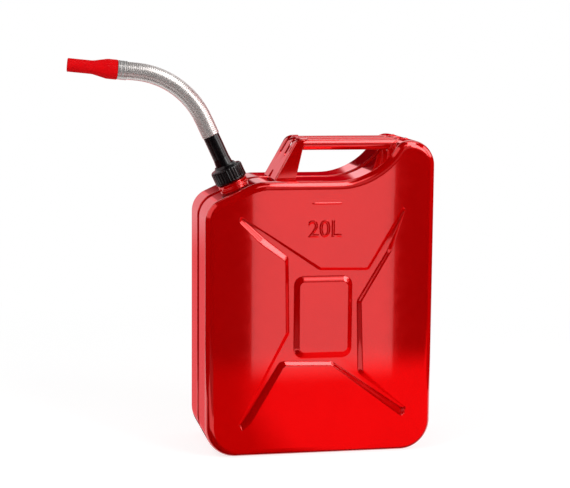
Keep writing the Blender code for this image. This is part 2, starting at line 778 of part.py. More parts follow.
def flange_low():
    """Height of the underside of the adapter's flange, on the gasket."""
    return gasket_low() + GASKET_THICKNESS + GAP


def nut_roof():
    """Height of the inside of the nut's top, above the adapter's flange."""
    return flange_low() + FLANGE_THICKNESS + GAP


def nut_bore_radius():
    """Radius inside the nut, clear of the neck and of the adapter's flange."""
    return NECK_RADIUS + RUNNING_CLEARANCE


def flange_radius():
    """Radius of the adapter's flange and of the gasket, inside the nut."""
    return nut_bore_radius() - GAP


def add_gasket(seal):
    """Flat sealing ring between the neck's rim and the adapter's flange."""
    low = gasket_low()
    high = low + GASKET_THICKNESS
    inner = SPIGOT_RADIUS + GASKET_CLEARANCE
    mesh = turned_mesh("neck_gasket", [
        (flange_radius(), high), (flange_radius(), low), (inner, low), (inner, high)])
    return add_object("neck_gasket", smooth(mesh), seal, BLACK_RUBBER)


def add_adapter(spout):
    """Black tube with a flange under the nut, a spigot in the neck and a socket at its top."""
    low = flange_low()
    socket = FERRULE_RADIUS + GAP
    socket_low = ADAPTER_LENGTH - FERRULE_GRIP
    hub_top = nut_roof() + NUT_TOP_THICKNESS + NUT_CONE_HEIGHT
    mesh = turned_mesh("spout_adapter", [
        (ADAPTER_RADIUS - ADAPTER_CHAMFER, ADAPTER_LENGTH),
        (ADAPTER_RADIUS, ADAPTER_LENGTH - ADAPTER_CHAMFER),
        (ADAPTER_RADIUS, hub_top + HUB_TAPER_LENGTH),
        (HUB_RADIUS, hub_top),
        (HUB_RADIUS, low + FLANGE_THICKNESS),
        (flange_radius(), low + FLANGE_THICKNESS),
        (flange_radius(), low),
        (SPIGOT_RADIUS, low),
        (SPIGOT_RADIUS, low - SPIGOT_LENGTH),
        (ADAPTER_BORE_RADIUS, low - SPIGOT_LENGTH),
        (ADAPTER_BORE_RADIUS, socket_low),
        (socket, socket_low),
        (socket, ADAPTER_LENGTH),
    ])
    return add_object("spout_adapter", smooth(mesh), spout, BLACK_PLASTIC)


def nut_outline():
    """Outline of the nut's grip: evenly spaced ribs round a circle, anticlockwise."""
    root = NUT_RADIUS - NUT_RIB_DEPTH
    points = []
    for rib in range(NUT_RIBS):
        for share, radius in ((0.0, root), (0.4, root), (0.55, NUT_RADIUS), (0.85, NUT_RADIUS)):
            angle = 2 * math.pi * (rib + share) / NUT_RIBS
            points.append((math.cos(angle) * radius, math.sin(angle) * radius))
    return points


def add_nut(nut):
    """Knurled screw nut with a cone on top and the neck's thread cut inside."""
    low = NECK_COLLAR_HEIGHT + NUT_SKIRT_CLEARANCE
    roof = nut_roof()
    top = roof + NUT_TOP_THICKNESS
    cone_top = top + NUT_CONE_HEIGHT
    mesh = flat_mesh("coupling_nut", nut_outline(), low, cone_top, "XY")
    part = add_object("coupling_nut", smooth(mesh), nut, BLACK_PLASTIC)
    envelope = turned_mesh("nut_envelope", [
        (0, cone_top + OVERCUT),
        (NUT_CONE_RADIUS, cone_top + OVERCUT),
        (NUT_CONE_RADIUS, cone_top),
        (NUT_RADIUS - NUT_CHAMFER, top),
        (NUT_RADIUS + OVERCUT, top - NUT_CHAMFER),
        (NUT_RADIUS + OVERCUT, low - OVERCUT),
        (0, low - OVERCUT),
    ], 48)
    boolean(part, add_cutter("nut_envelope", envelope, nut), "INTERSECT")
    bore = nut_bore_radius()
    hole = HUB_RADIUS + RUNNING_CLEARANCE
    hollow = turned_mesh("nut_hollow", [
        (0, cone_top + OVERCUT), (hole, cone_top + OVERCUT), (hole, roof), (bore, roof),
        (bore, low - OVERCUT), (0, low - OVERCUT)])
    boolean(part, add_cutter("nut_hollow", hollow, nut))
    groove_low = low - THREAD_LEAD / 2
    groove_turns = (THREAD_START - groove_low) / THREAD_LEAD + THREAD_TURNS
    groove_points = thread_points(groove_low, groove_turns + 2 / THREAD_POINTS_PER_TURN)
    groove = tube_mesh("nut_thread", groove_points, THREAD_RADIUS + THREAD_CLEARANCE, 8)
    boolean(part, add_cutter("nut_thread", groove, nut))
    return part


def add_hose(spout):
    """Corrugated metal hose: evenly spaced ribs along its middle line, bored through."""
    length = hose_length()
    count = 2 * HOSE_RIBS
    points, scales = [], []
    for step in range(count + 1):
        across, along, _ = hose_place(length * step / count)
        points.append((across, 0, along))
        scales.append(1.0 if step % 2 else HOSE_ROOT_RADIUS / HOSE_RADIUS)
    mesh = tube_mesh("spout_hose", points, HOSE_RADIUS, 8, scales)
    hose = add_object("spout_hose", smooth(mesh, math.radians(60)), spout, BRIGHT_STEEL)
    bore_points = []
    bore_count = HOSE_RIBS // 2
    for step in range(bore_count + 1):
        across, along, _ = hose_place(length * step / bore_count)
        bore_points.append((across, 0, along))
    across, along, lean = hose_place(length)
    bore_points[0] = (0, 0, hose_start() - OVERCUT)
    bore_points[-1] = (across - math.sin(lean) * OVERCUT, 0, along + math.cos(lean) * OVERCUT)
    bore = tube_mesh("hose_bore", bore_points, HOSE_BORE_RADIUS, 8)
    boolean(hose, add_cutter("hose_bore", bore, spout))
    return hose


def add_lower_ferrule(spout):
    """Plain sleeve that joins the adapter's socket to the hose's bore."""
    low = ADAPTER_LENGTH - FERRULE_GRIP + GAP
    high = hose_start() + FERRULE_GRIP
    inner = FERRULE_RADIUS - FERRULE_WALL
    mesh = turned_mesh("hose_ferrule_lower", [
        (FERRULE_RADIUS, high), (FERRULE_RADIUS, low), (inner, low), (inner, high)])
    return add_object("hose_ferrule_lower", smooth(mesh), spout, GREY_STEEL)


def add_upper_ferrule(end):
    """Sleeve over the hose's upper end, with a spigot that the tip is pushed onto."""
    sleeve_bore = HOSE_RADIUS + GAP
    sleeve = sleeve_bore + SLEEVE_WALL
    top = GAP + SLEEVE_END
    inner = FERRULE_RADIUS - FERRULE_WALL
    mesh = turned_mesh("hose_ferrule_upper", [
        (FERRULE_RADIUS, top + FERRULE_GRIP),
        (FERRULE_RADIUS, top),
        (sleeve, top),
        (sleeve, -SLEEVE_LENGTH),
        (sleeve_bore, -SLEEVE_LENGTH),
        (sleeve_bore, GAP),
        (inner, GAP),
        (inner, top + FERRULE_GRIP),
    ])
    return add_object("hose_ferrule_upper", smooth(mesh), end, BRIGHT_STEEL)


def add_tip(end):
    """Red plastic tip: a wide socket on the ferrule that narrows to a pouring tube."""
    low = GAP + SLEEVE_END + GAP
    high = low + TIP_LENGTH
    socket = FERRULE_RADIUS + GAP
    socket_high = low + FERRULE_GRIP
    mesh = turned_mesh("nozzle_tip", [
        (TIP_SMALL_RADIUS, high),
        (TIP_SMALL_RADIUS, low + TIP_LARGE_LENGTH + TIP_TAPER_LENGTH),
        (TIP_LARGE_RADIUS, low + TIP_LARGE_LENGTH),
        (TIP_LARGE_RADIUS, low),
        (socket, low),
        (socket, socket_high),
        (TIP_BORE_RADIUS, socket_high),
        (TIP_BORE_RADIUS, high),
    ])
    return add_object("nozzle_tip", smooth(mesh), end, RED_PLASTIC)


def add_breather(can):
    """Vent pipe from the neck, under the shoulder and up into the hump's air space."""
    foot_x, foot_z = neck_foot()
    radius = NECK_COLLAR_RADIUS - NECK_WALL - GAP - BREATHER_RADIUS
    wall_x = foot_x + math.cos(SLOPE_ANGLE) * radius
    wall_z = foot_z + math.sin(SLOPE_ANGLE) * radius
    down_x, down_z = math.sin(SLOPE_ANGLE), -math.cos(SLOPE_ANGLE)
    top = NECK_COLLAR_HEIGHT - NECK_WALL - BREATHER_RIM_DROP
    run_z = SHOULDER_HEIGHT - BREATHER_DEPTH
    hump_x = BODY_WIDTH / 2 - TOP_CORNER_RADIUS
    stations = [
        (wall_x - down_x * top, wall_z - down_z * top),
        (wall_x + down_x * NECK_INSIDE_LENGTH, wall_z + down_z * NECK_INSIDE_LENGTH),
        (wall_x + down_x * BREATHER_DROP, wall_z + down_z * BREATHER_DROP),
        (wall_x + BREATHER_TURN, run_z),
        (hump_x - BREATHER_RISE, run_z),
        (hump_x - BREATHER_TOP_INSET, SHOULDER_HEIGHT - BREATHER_TOP_INSET),
        (hump_x, HUMP_HEIGHT - BREATHER_HUMP_DROP),
    ]
    points = smooth_route(stations, 5)
    mesh = tube_mesh("breather_pipe", points, BREATHER_RADIUS, 8)
    pipe = add_object("breather_pipe", smooth(mesh), can, GREY_STEEL)
    first, last = Vector(points[0]), Vector(points[-1])
    first += (first - Vector(points[1])).normalized() * OVERCUT
    last += (last - Vector(points[-2])).normalized() * OVERCUT
    bore_points = [tuple(first)] + points[1:-1] + [tuple(last)]
    bore = tube_mesh("breather_bore", bore_points, BREATHER_RADIUS - BREATHER_WALL, 8)
    boolean(pipe, add_cutter("breather_bore", bore, can))
    return pipe


def smooth_route(stations, steps):
    """Points on a smooth curve in the XZ plane through the stations."""
    padded = [stations[0]] + list(stations) + [stations[-1]]
    points = []
    for index in range(len(stations) - 1):
        before, start, end, after = (Vector(p) for p in padded[index:index + 4])
        for step in range(steps):
            t = step / steps
            place = 0.5 * (2 * start + (end - before) * t
                           + (2 * before - 5 * start + 4 * end - after) * t ** 2
                           + (3 * start - before - 3 * end + after) * t ** 3)
            points.append((place.x, 0.0, place.y))
    points.append((stations[-1][0], 0.0, stations[-1][1]))
    return points


def build():
    """Make the whole can."""
    clear_scene()
    can = add_empty("can_axis", location=(middle_shift(), 0, 0))
    foot_x, foot_z = neck_foot()
    neck = add_empty("neck_axis", can, (foot_x, 0, foot_z), -SLOPE_ANGLE)
    seal = add_empty("seal_axis", neck)
    nut = add_empty("nut_axis", seal)
    spout = add_empty("spout_axis", seal)
    across, along, lean = hose_place(hose_length() / 2)
    pivot = add_empty("bend_pivot", spout, (across, 0, along))
    end_across, end_along, end_lean = hose_place(hose_length())
    end = add_empty("nozzle_axis", pivot, (end_across - across, 0, end_along - along), -end_lean)
    add_body(can, neck)
    add_bracket(can)
    add_cover(can)
    add_handles(can)
    add_neck(neck)
    add_breather(can)
    add_gasket(seal)
    add_nut(nut)
    add_adapter(spout)
    add_lower_ferrule(spout)
    add_hose(spout)
    add_upper_ferrule(end)
    add_tip(end)
    bpy.context.view_layer.update()


build()
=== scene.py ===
"""The dressed fuel can: two pressed steel halves, tube handles, a screw neck and a bending spout.

Sizes in the classes are millimetres in the can's own frame: x from the can's middle, y from
its middle plane and z from its base. The function at() turns them into the frame's metres.
"""

import json
import logging
import math
from dataclasses import dataclass
from enum import Enum
from typing import Callable, Iterable, Sequence

import bpy
from mathutils import Matrix, Vector

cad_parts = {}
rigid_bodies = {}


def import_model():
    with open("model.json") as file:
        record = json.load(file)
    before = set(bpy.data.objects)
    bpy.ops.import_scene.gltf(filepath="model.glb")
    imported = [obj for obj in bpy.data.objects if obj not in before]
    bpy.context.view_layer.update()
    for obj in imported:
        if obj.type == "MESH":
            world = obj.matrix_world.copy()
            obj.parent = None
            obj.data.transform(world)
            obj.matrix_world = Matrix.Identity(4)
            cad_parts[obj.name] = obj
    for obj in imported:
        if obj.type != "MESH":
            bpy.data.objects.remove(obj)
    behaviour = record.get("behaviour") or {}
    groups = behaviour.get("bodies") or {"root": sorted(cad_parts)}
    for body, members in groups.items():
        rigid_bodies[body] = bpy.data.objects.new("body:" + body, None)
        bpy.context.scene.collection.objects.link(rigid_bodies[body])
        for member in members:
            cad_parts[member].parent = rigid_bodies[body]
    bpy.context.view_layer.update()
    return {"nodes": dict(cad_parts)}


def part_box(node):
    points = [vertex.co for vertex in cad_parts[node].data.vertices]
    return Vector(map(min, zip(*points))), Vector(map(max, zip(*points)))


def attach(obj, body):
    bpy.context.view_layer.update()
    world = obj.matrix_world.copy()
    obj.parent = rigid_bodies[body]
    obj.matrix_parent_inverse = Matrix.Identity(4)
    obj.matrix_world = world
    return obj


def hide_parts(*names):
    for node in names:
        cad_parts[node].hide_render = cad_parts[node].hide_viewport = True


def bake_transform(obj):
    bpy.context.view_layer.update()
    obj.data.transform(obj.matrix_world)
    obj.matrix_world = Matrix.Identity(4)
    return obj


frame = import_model()

LOG = logging.getLogger("fuel_can")
MM = 0.001
CAN_LOW, CAN_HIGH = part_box("front_shell")
CAN_MIDDLE = (CAN_LOW.x + CAN_HIGH.x) / 2

FACE = 82.5
SEAM_DEPTH = 9.0
TUBE_SPACING = 37.5
SHEET_ANGLE = 35.0

Pair = tuple[float, float]
Triple = tuple[float, float, float]
Colour = Triple
Ring = list[Vector]
Piece = bpy.types.Object
Material = bpy.types.Material
Socket = bpy.types.NodeSocket


class Half(Enum):
    """The two pressed halves, by the side of the middle plane that each lies on."""

    FRONT = -1
    REAR = 1


class Seat(Enum):
    """What the end of a handle tube butts against."""

    SKIN = 0.0
    SEAM_FLOOR = SEAM_DEPTH


# Places and outlines


def at(x: float, y: float, z: float) -> Vector:
    """Give a place in the can's millimetres as a point of the frame in metres."""
    return Vector((CAN_MIDDLE + x * MM, y * MM, z * MM))


@dataclass(frozen=True)
class Axis:
    """A turning axis in a plane parallel to the can's middle plane."""

    x: float
    z: float
    tilt: float
    y: float = 0.0

    def up(self) -> Vector:
        """Direction of the axis."""
        angle = math.radians(self.tilt)
        return Vector((math.sin(angle), 0, math.cos(angle)))

    def out(self) -> Vector:
        """Direction square to the axis, in the plane of the can's side."""
        angle = math.radians(self.tilt)
        return Vector((math.cos(angle), 0, -math.sin(angle)))

    def point(self, radius: float, height: float, turn: float = 0) -> Vector:
        """Give the point at a radius, a height along the axis and a turn round it.

        Args:
            radius: Distance from the axis in millimetres.
            height: Distance along the axis in millimetres.
            turn: Angle round the axis in radians.

        Returns:
            The point in the frame's metres.
        """
        side = self.out() * math.cos(turn) + Vector((0, 1, 0)) * math.sin(turn)
        return at(self.x, self.y, self.z) + (side * radius + self.up() * height) * MM


@dataclass(frozen=True)
class Corner:
    """One corner of an outline, with the radius that rounds it."""

    x: float
    z: float
    radius: float = 0.0
    steps: int = 6


@dataclass(frozen=True)
class Outline:
    """Straight lines with rounded corners, listed anticlockwise."""

    corners: tuple[Corner, ...]
    closed: bool = True

    def inset(self, distance: float = 0) -> list[Pair]:
        """Give the outline's points moved inward, always the same number of them.

        Args:
            distance: How far the lines move to the left of their direction, in millimetres.

        Returns:
            Points in order.
        """
        places = [Vector((c.x, c.z)) for c in self.corners]
        ways = [(to - place).normalized() for place, to in zip(places, places[1:] + places[:1])]
        if not self.closed:
            ways[-1] = ways[-2]
        points: list[Pair] = []
        for index, (corner, place) in enumerate(zip(self.corners, places)):
            after = ways[index]
            before = ways[index - 1] if self.closed or index else after
            first = Vector((-before.y, before.x))
            second = Vector((-after.y, after.x))
            bisector = (first + second) / (1.0 + first.dot(second))
            moved = place + bisector * distance
            if corner.radius == 0.0:
                points.append((moved.x, moved.y))
                continue
            turn = math.atan2(before.x * after.y - before.y * after.x, before.dot(after))
            side = 1.0 if turn > 0 else -1.0
            radius = max(corner.radius - side * distance, 0.02)
            centre = moved + bisector * radius * side
            start = math.atan2(first.y, first.x)
            for step in range(corner.steps + 1):
                angle = start + turn * step / corner.steps
                points.append((centre.x - math.cos(angle) * radius * side,
                               centre.y - math.sin(angle) * radius * side))
        return points


def grey(level: float) -> Colour:
    """Neutral colour of a level."""
    return (level, level, level)


def turns(count: int) -> list[float]:
    """Angles of so many equal steps round a circle, in radians."""
    return [2 * math.pi * step / count for step in range(count)]


def outline(*corners: tuple[float, ...], closed: bool = True) -> Outline:
    """Make an outline from corners given as x, z, radius and number of steps."""
    return Outline(tuple(Corner(*corner) for corner in corners), closed)


def profile(*corners: tuple[float, ...]) -> list[Pair]:
    """Round the corners of a turned piece's closed section, given as radius, height, fillet."""
    return Outline(tuple(Corner(*corner, steps=4) for corner in corners)).inset()


# Modelling by hand with operators


def deselect() -> None:
    """Clear the selection, so that an operator acts on the new piece alone."""
    if bpy.context.object and bpy.context.object.mode != "OBJECT":
        bpy.ops.object.mode_set(mode="OBJECT")
    bpy.ops.object.select_all(action="DESELECT")


def take(*pieces: Piece) -> None:
    """Select these pieces alone, the first of them active."""
    deselect()
    for piece in pieces:
        piece.select_set(True)
    bpy.context.view_layer.objects.active = pieces[0]


def named(name: str) -> Piece:
    """Name the active piece and its mesh."""
    piece = bpy.context.object
    piece.name = name
    piece.data.name = name
    return piece


def edit(piece: Piece) -> None:
    """Enter edit mode with the whole piece selected."""
    take(piece)
    bpy.ops.object.mode_set(mode="EDIT")
    bpy.ops.mesh.select_all(action="SELECT")


def leave() -> None:
    """Go back to object mode."""
    bpy.ops.object.mode_set(mode="OBJECT")


def lay(piece: Piece, points: Iterable[Vector]) -> None:
    """Move a piece's vertices onto points, in their order."""
    piece.data.vertices.foreach_set("co", [c for point in points for c in point])
    piece.data.update()


def put(name: str, data: bpy.types.ID) -> Piece:
    """Put a new object with this data into the scene."""
    made = bpy.data.objects.new(name, data)
    bpy.context.scene.collection.objects.link(made)
    return made


def loop(name: str, points: Sequence[Vector]) -> Piece:
    """Add a circle at the place and size of a closed line of points, and lay it on them.

    Args:
        name: Name of the new piece.
        points: The line's points in the frame's metres.

    Returns:
        The new piece, a closed line of edges.
    """
    deselect()
    middle = sum(points, Vector()) / len(points)
    reach = max((point - middle).length for point in points)
    bpy.ops.mesh.primitive_circle_add(vertices=len(points), radius=reach, location=middle)
    bpy.ops.object.transform_apply()
    piece = named(name)
    lay(piece, points)
    return piece


def tidy_mesh(piece: Piece, distance: float = 1e-6) -> None:
    """Merge doubles and turn the faces outward."""
    edit(piece)
    bpy.ops.mesh.remove_doubles(threshold=distance)
    bpy.ops.mesh.normals_make_consistent(inside=False)
    leave()


def pick(piece: Piece, chosen: Callable[[bpy.types.MeshVertex], bool]) -> None:
    """Enter edit mode with only the chosen vertices selected.

    Args:
        piece: The piece to edit.
        chosen: Test that a vertex passes to be selected.
    """
    take(piece)
    bpy.ops.object.mode_set(mode="EDIT")
    bpy.ops.mesh.select_mode(type="VERT")
    bpy.ops.mesh.select_all(action="DESELECT")
    leave()
    for vertex in piece.data.vertices:
        vertex.select = chosen(vertex)
    bpy.ops.object.mode_set(mode="EDIT")


def skin(name: str, rings: Sequence[Ring], ends: bool = False, joined: bool = False) -> Piece:
    """Model a skin by extruding a ring again and again, each time to its next place.

    Args:
        name: Name of the new piece.
        rings: Rings with the same number of points each, in the frame's metres.
        ends: Whether the first and last rings are filled.
        joined: Whether the last ring is joined to the first.

    Returns:
        The new piece.
    """
    rings = list(rings) + ([rings[0]] if joined else [])
    count = len(rings[0])
    piece = loop(name, rings[0])
    edit(piece)
    for _ in rings[1:]:
        bpy.ops.mesh.extrude_region_move()
    leave()
    lay(piece, (point for ring in rings for point in ring))
    if ends:
        for start in (0, count * (len(rings) - 1)):
            pick(piece, lambda vertex: start <= vertex.index < start + count)
            bpy.ops.mesh.edge_face_add()
            leave()
    tidy_mesh(piece)
    return piece


def turned(name: str, axis: Axis, section: Sequence[Pair], sides: int = 96) -> Piece:
    """Spin a closed section round an axis.

    Args:
        name: Name of the new piece.
        axis: Axis that the section turns round.
        section: Points of the section as radius and height in millimetres.
        sides: Number of steps in the whole turn.

    Returns:
        The new piece.
    """
    piece = loop(name, [axis.point(radius, height) for radius, height in section])
    edit(piece)
    bpy.ops.mesh.spin(steps=sides, angle=2 * math.pi, center=axis.point(0, 0),
                      axis=axis.up(), use_auto_merge=True)
    leave()
    tidy_mesh(piece)
    return piece


def join(name: str, *pieces: Piece) -> Piece:
    """Join pieces into the first one."""
    take(*pieces)
    bpy.ops.object.join()
    return named(name)


def modify(piece: Piece, kind: str, **settings: object) -> None:
    """Give a piece one modifier and apply it.

    Args:
        piece: The piece to change.
        kind: Type of modifier.
        settings: Values of the modifier's settings.
    """
    take(piece)
    modifier = piece.modifiers.new(kind.lower(), kind)
    for setting, value in settings.items():
        setattr(modifier, setting, value)
    bpy.ops.object.modifier_apply(modifier=modifier.name)


def cut(piece: Piece, tool: Piece) -> None:
    """Cut one piece away from another, and remove it."""
    modify(piece, "BOOLEAN", operation="DIFFERENCE", solver="EXACT", object=tool)
    bpy.data.objects.remove(tool)


def smooth(piece: Piece, angle: float = 40, weighted: bool = True) -> None:
    """Shade a piece smooth up to an angle, with flat faces kept flat."""
    take(piece)
    bpy.ops.object.shade_smooth_by_angle(angle=math.radians(angle))
    if weighted:
        modify(piece, "WEIGHTED_NORMAL", keep_sharp=True, weight=50)


# Finishes


class Nodes:
    """Node tree of a material or of the world, grown one node at a time."""

    def __init__(self, name: str, world: bpy.types.World | None = None) -> None:
        """Start a tree with an output, for a new material or for the world."""
        self.material = world or bpy.data.materials.new(name)
        self.material.use_nodes = True
        self.tree = self.material.node_tree
        self.tree.nodes.clear()
        self.output = self.add(f"ShaderNodeOutput{'World' if world else 'Material'}")
        self.place = self.add("ShaderNodeTexCoord").outputs["Object"]

    def add(self, kind: str, **settings: object) -> bpy.types.Node:
        """Add a node and set its named settings or its sockets' values.

        Args:
            kind: Type of node.
            settings: Values of its settings, or of its sockets by name with underscores.

        Returns:
            The new node.
        """
        node = self.tree.nodes.new(kind)
        for setting, value in settings.items():
            socket = node.inputs.get(setting.replace("_", " "))
            if socket is None:
                setattr(node, setting, value)
            elif isinstance(value, Socket):
                self.link(value, socket)
            else:
                socket.default_value = value
        return node

    def link(self, source: Socket, target: Socket) -> None:
        """Join two sockets."""
        self.tree.links.new(source, target)

    def combine(self, kind: str, *sources: Socket, **settings: object) -> Socket:
        """Add a node whose first inputs are these sockets, in their order."""
        node = self.add(kind, **settings)
        for source, target in zip(sources, node.inputs):
            self.link(source, target)
        return node.outputs[0]

    def finish(self, surface: Socket) -> None:
        """Join a shader to the output."""
        self.link(surface, self.output.inputs["Surface"])

    def noise(self, scale: float, detail: float = 3, rough: float = 0.5,
              place: Socket | None = None) -> Socket:
        """Add noise of so many waves to a metre."""
        node = self.add("ShaderNodeTexNoise", Vector=place or self.place, Scale=scale,
                        Detail=detail, Roughness=rough)
        return node.outputs["Fac"]

    def spread(self, source: Socket, low: float, high: float,
               to_low: float, to_high: float, smoothed: bool = False) -> Socket:
        """Map a range of values onto another.

        Args:
            source: Socket that gives the value.
            low: Value that becomes to_low.
            high: Value that becomes to_high.
            to_low: Result at the low end.
            to_high: Result at the high end.
            smoothed: Whether the change eases in and out.

        Returns:
            Socket with the result.
        """
        node = self.add("ShaderNodeMapRange", Value=source, From_Min=low, From_Max=high,
                        To_Min=to_low, To_Max=to_high,
                        interpolation_type="SMOOTHSTEP" if smoothed else "LINEAR")
        return node.outputs["Result"]

    def maths(self, operation: str, *sources: Socket) -> Socket:
        """Add a product or the like of two sockets."""
        return self.combine("ShaderNodeMath", *sources, operation=operation)

    def blend(self, share: Socket, low: Colour, high: Colour) -> Socket:
        """Add a mix of two colours by a share."""
        node = self.add("ShaderNodeMix", data_type="RGBA")
        self.link(share, node.inputs[0])
        node.inputs[6].default_value = (*low, 1)
        node.inputs[7].default_value = (*high, 1)
        return node.outputs[2]

    def bump(self, height: Socket, distance: float, strength: float = 1,
             below: Socket | None = None) -> Socket:
        """Add a bump of a height socket, over another bump if one is given."""
        node = self.add("ShaderNodeBump", Strength=strength, Distance=distance * MM,
                        Height=height)
        if below is not None:
            self.link(below, node.inputs["Normal"])
        return node.outputs["Normal"]

    def shader(self, **settings: object) -> None:
        """Add the Principled shader and join it to the output."""
        self.finish(self.add("ShaderNodeBsdfPrincipled", **settings).outputs["BSDF"])


@dataclass(frozen=True)
class Enamel:
    """Gloss enamel over pressed steel, with a little orange peel and dust."""

    name: str = "red_enamel"
    colour: Colour = (0.86, 0.0015, 0.002)
    deep: Colour = (0.80, 0.001, 0.0015)
    metallic: float = 0.5
    roughness: float = 0.08
    coat: float = 1.0

    def make(self) -> Material:
        """Grow the material."""
        nodes = Nodes(self.name)
        mottle = nodes.spread(nodes.noise(9, 4), 0.35, 0.65, 0, 1)
        tone = nodes.blend(mottle, self.deep, self.colour)
        dust = nodes.noise(60, 6, 0.65)
        rough = nodes.spread(dust, 0.3, 0.75, self.roughness - 0.03, self.roughness + 0.05)
        wave = nodes.bump(nodes.noise(7, 1), 0.35, 0.12)
        peel = nodes.bump(nodes.noise(330, 2), 0.02, 0.16, wave)
        nodes.shader(Base_Color=tone, Metallic=self.metallic, Roughness=rough, Normal=peel,
                     Coat_Weight=self.coat, Coat_Roughness=0.03, Coat_Normal=wave)
        return nodes.material


@dataclass(frozen=True)
class Moulding:
    """Moulded plastic with a fine grain and slightly uneven gloss."""

    name: str
    colour: Colour
    worn: Colour
    roughness: float
    grain: float = 0.03
    shine: float = 0.5

    def make(self) -> Material:
        """Grow the material."""
        nodes = Nodes(self.name)
        cloud = nodes.noise(40, 5, 0.6)
        tone = nodes.blend(nodes.spread(cloud, 0.35, 0.7, 0, 1), self.colour, self.worn)
        rough = nodes.spread(cloud, 0.3, 0.7, self.roughness - 0.05, self.roughness + 0.06)
        grain = nodes.bump(nodes.noise(2600, 2), self.grain, 0.3)
        nodes.shader(Base_Color=tone, Roughness=rough, Normal=grain, Specular_IOR_Level=self.shine)
        return nodes.material


@dataclass(frozen=True)
class Steel:
    """Bare metal with a faint grain drawn out along one direction."""

    name: str
    colour: Colour
    dull: Colour
    roughness: float
    grain: Triple = (1, 1, 1)
    tilt: float = 0.0
    metallic: float = 1.0
    depth: float = 0.008

    def make(self) -> Material:
        """Grow the material."""
        nodes = Nodes(self.name)
        turn = nodes.add("ShaderNodeMapping", Vector=nodes.place, Scale=self.grain,
                         Rotation=(0, math.radians(-self.tilt), 0))
        drawn = nodes.noise(500, 3, 0.6, turn.outputs["Vector"])
        cloud = nodes.noise(35, 5, 0.6)
        tone = nodes.blend(nodes.spread(cloud, 0.3, 0.7, 0, 1), self.dull, self.colour)
        rough = nodes.spread(drawn, 0.3, 0.7, self.roughness - 0.06, self.roughness + 0.08)
        nodes.shader(Base_Color=tone, Metallic=self.metallic, Roughness=rough,
                     Normal=nodes.bump(drawn, self.depth, 0.5))
        return nodes.material


def paint(piece: Piece, finish: Material) -> None:
    """Give a piece one material and no other."""
    piece.data.materials.clear()
    piece.data.materials.append(finish)


def dress(piece: Piece, finish: Material, body: str, slot: str, *nodes: str) -> Piece:
    """Give a piece its finish and its body, and hide the CAD nodes that it stands for.

    Args:
        piece: The finished mesh.
        finish: Its material.
        body: CAD body that it rides on.
        slot: Not used.
        nodes: CAD nodes that it replaces.

    Returns:
        The piece.
    """
    paint(piece, finish)
    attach(piece, body)
    if nodes:
        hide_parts(*nodes)
    deselect()
    LOG.info("%s: %d faces on %s", piece.name, len(piece.data.polygons), body)
    return piece


def bead(name: str, path: Sequence[Vector], radius: float, finish: Material, slot: str,
         wave: Pair = (0, 0), fade: Pair = (1, 1), sides: int = 8, closed: bool = False) -> Piece:
    """Sweep a weld bead, a thread or a raised line along a path on the can, and dress it.

    Args:
        name: Name of the new piece.
        path: Points of the path in the frame's metres.
        radius: Full radius in millimetres.
        finish: Its material.
        slot: Passed on to dress, which does not use it.
        wave: Share by which the radius swells and shrinks, and its turn from point to point.
        fade: Share of the radius at both ends, and how many points a full share takes.
        sides: Number of points round the section.
        closed: Whether the path's end meets its start.

    Returns:
        The piece.
    """
    last = len(path) - 1
    rings: list[Ring] = []
    across = None
    for index, point in enumerate(path):
        ahead = path[(index + 1) % len(path)] if closed or index < last else point
        behind = path[index - 1] if closed or index else point
        along = (ahead - behind).normalized()
        if across is None:
            across = along.orthogonal().normalized()
        across = (across - along * across.dot(along)).normalized()
        other = along.cross(across)
        share = min(1, fade[0] + min(index, last - index) / fade[1])
        reach = radius * share * (1.0 + wave[0] * math.sin(index * wave[1])) * MM
        rings.append([point + (across * math.cos(a) + other * math.sin(a)) * reach
                      for a in turns(sides)])
    piece = skin(name, rings, ends=not closed, joined=closed)
    smooth(piece, 60, weighted=False)
    return dress(piece, finish, "can", slot)


def lathed(name: str, axis: Axis, section: Sequence[Pair], finish: Material, body: str,
           node: str, sides: int = 128) -> Piece:
    """Turn a round piece and dress it as the CAD node that it stands for.

    Args:
        name: Name of the new piece.
        axis: Axis that the section turns round.
        section: Points of the section as radius and height in millimetres.
        finish: Its material.
        body: CAD body that it rides on.
        node: CAD node that it replaces.
        sides: Number of steps in the whole turn.

    Returns:
        The piece.
    """
    piece = turned(name, axis, section, sides)
    smooth(piece)
    return dress(piece, finish, body, node, node)


# The can's outlines

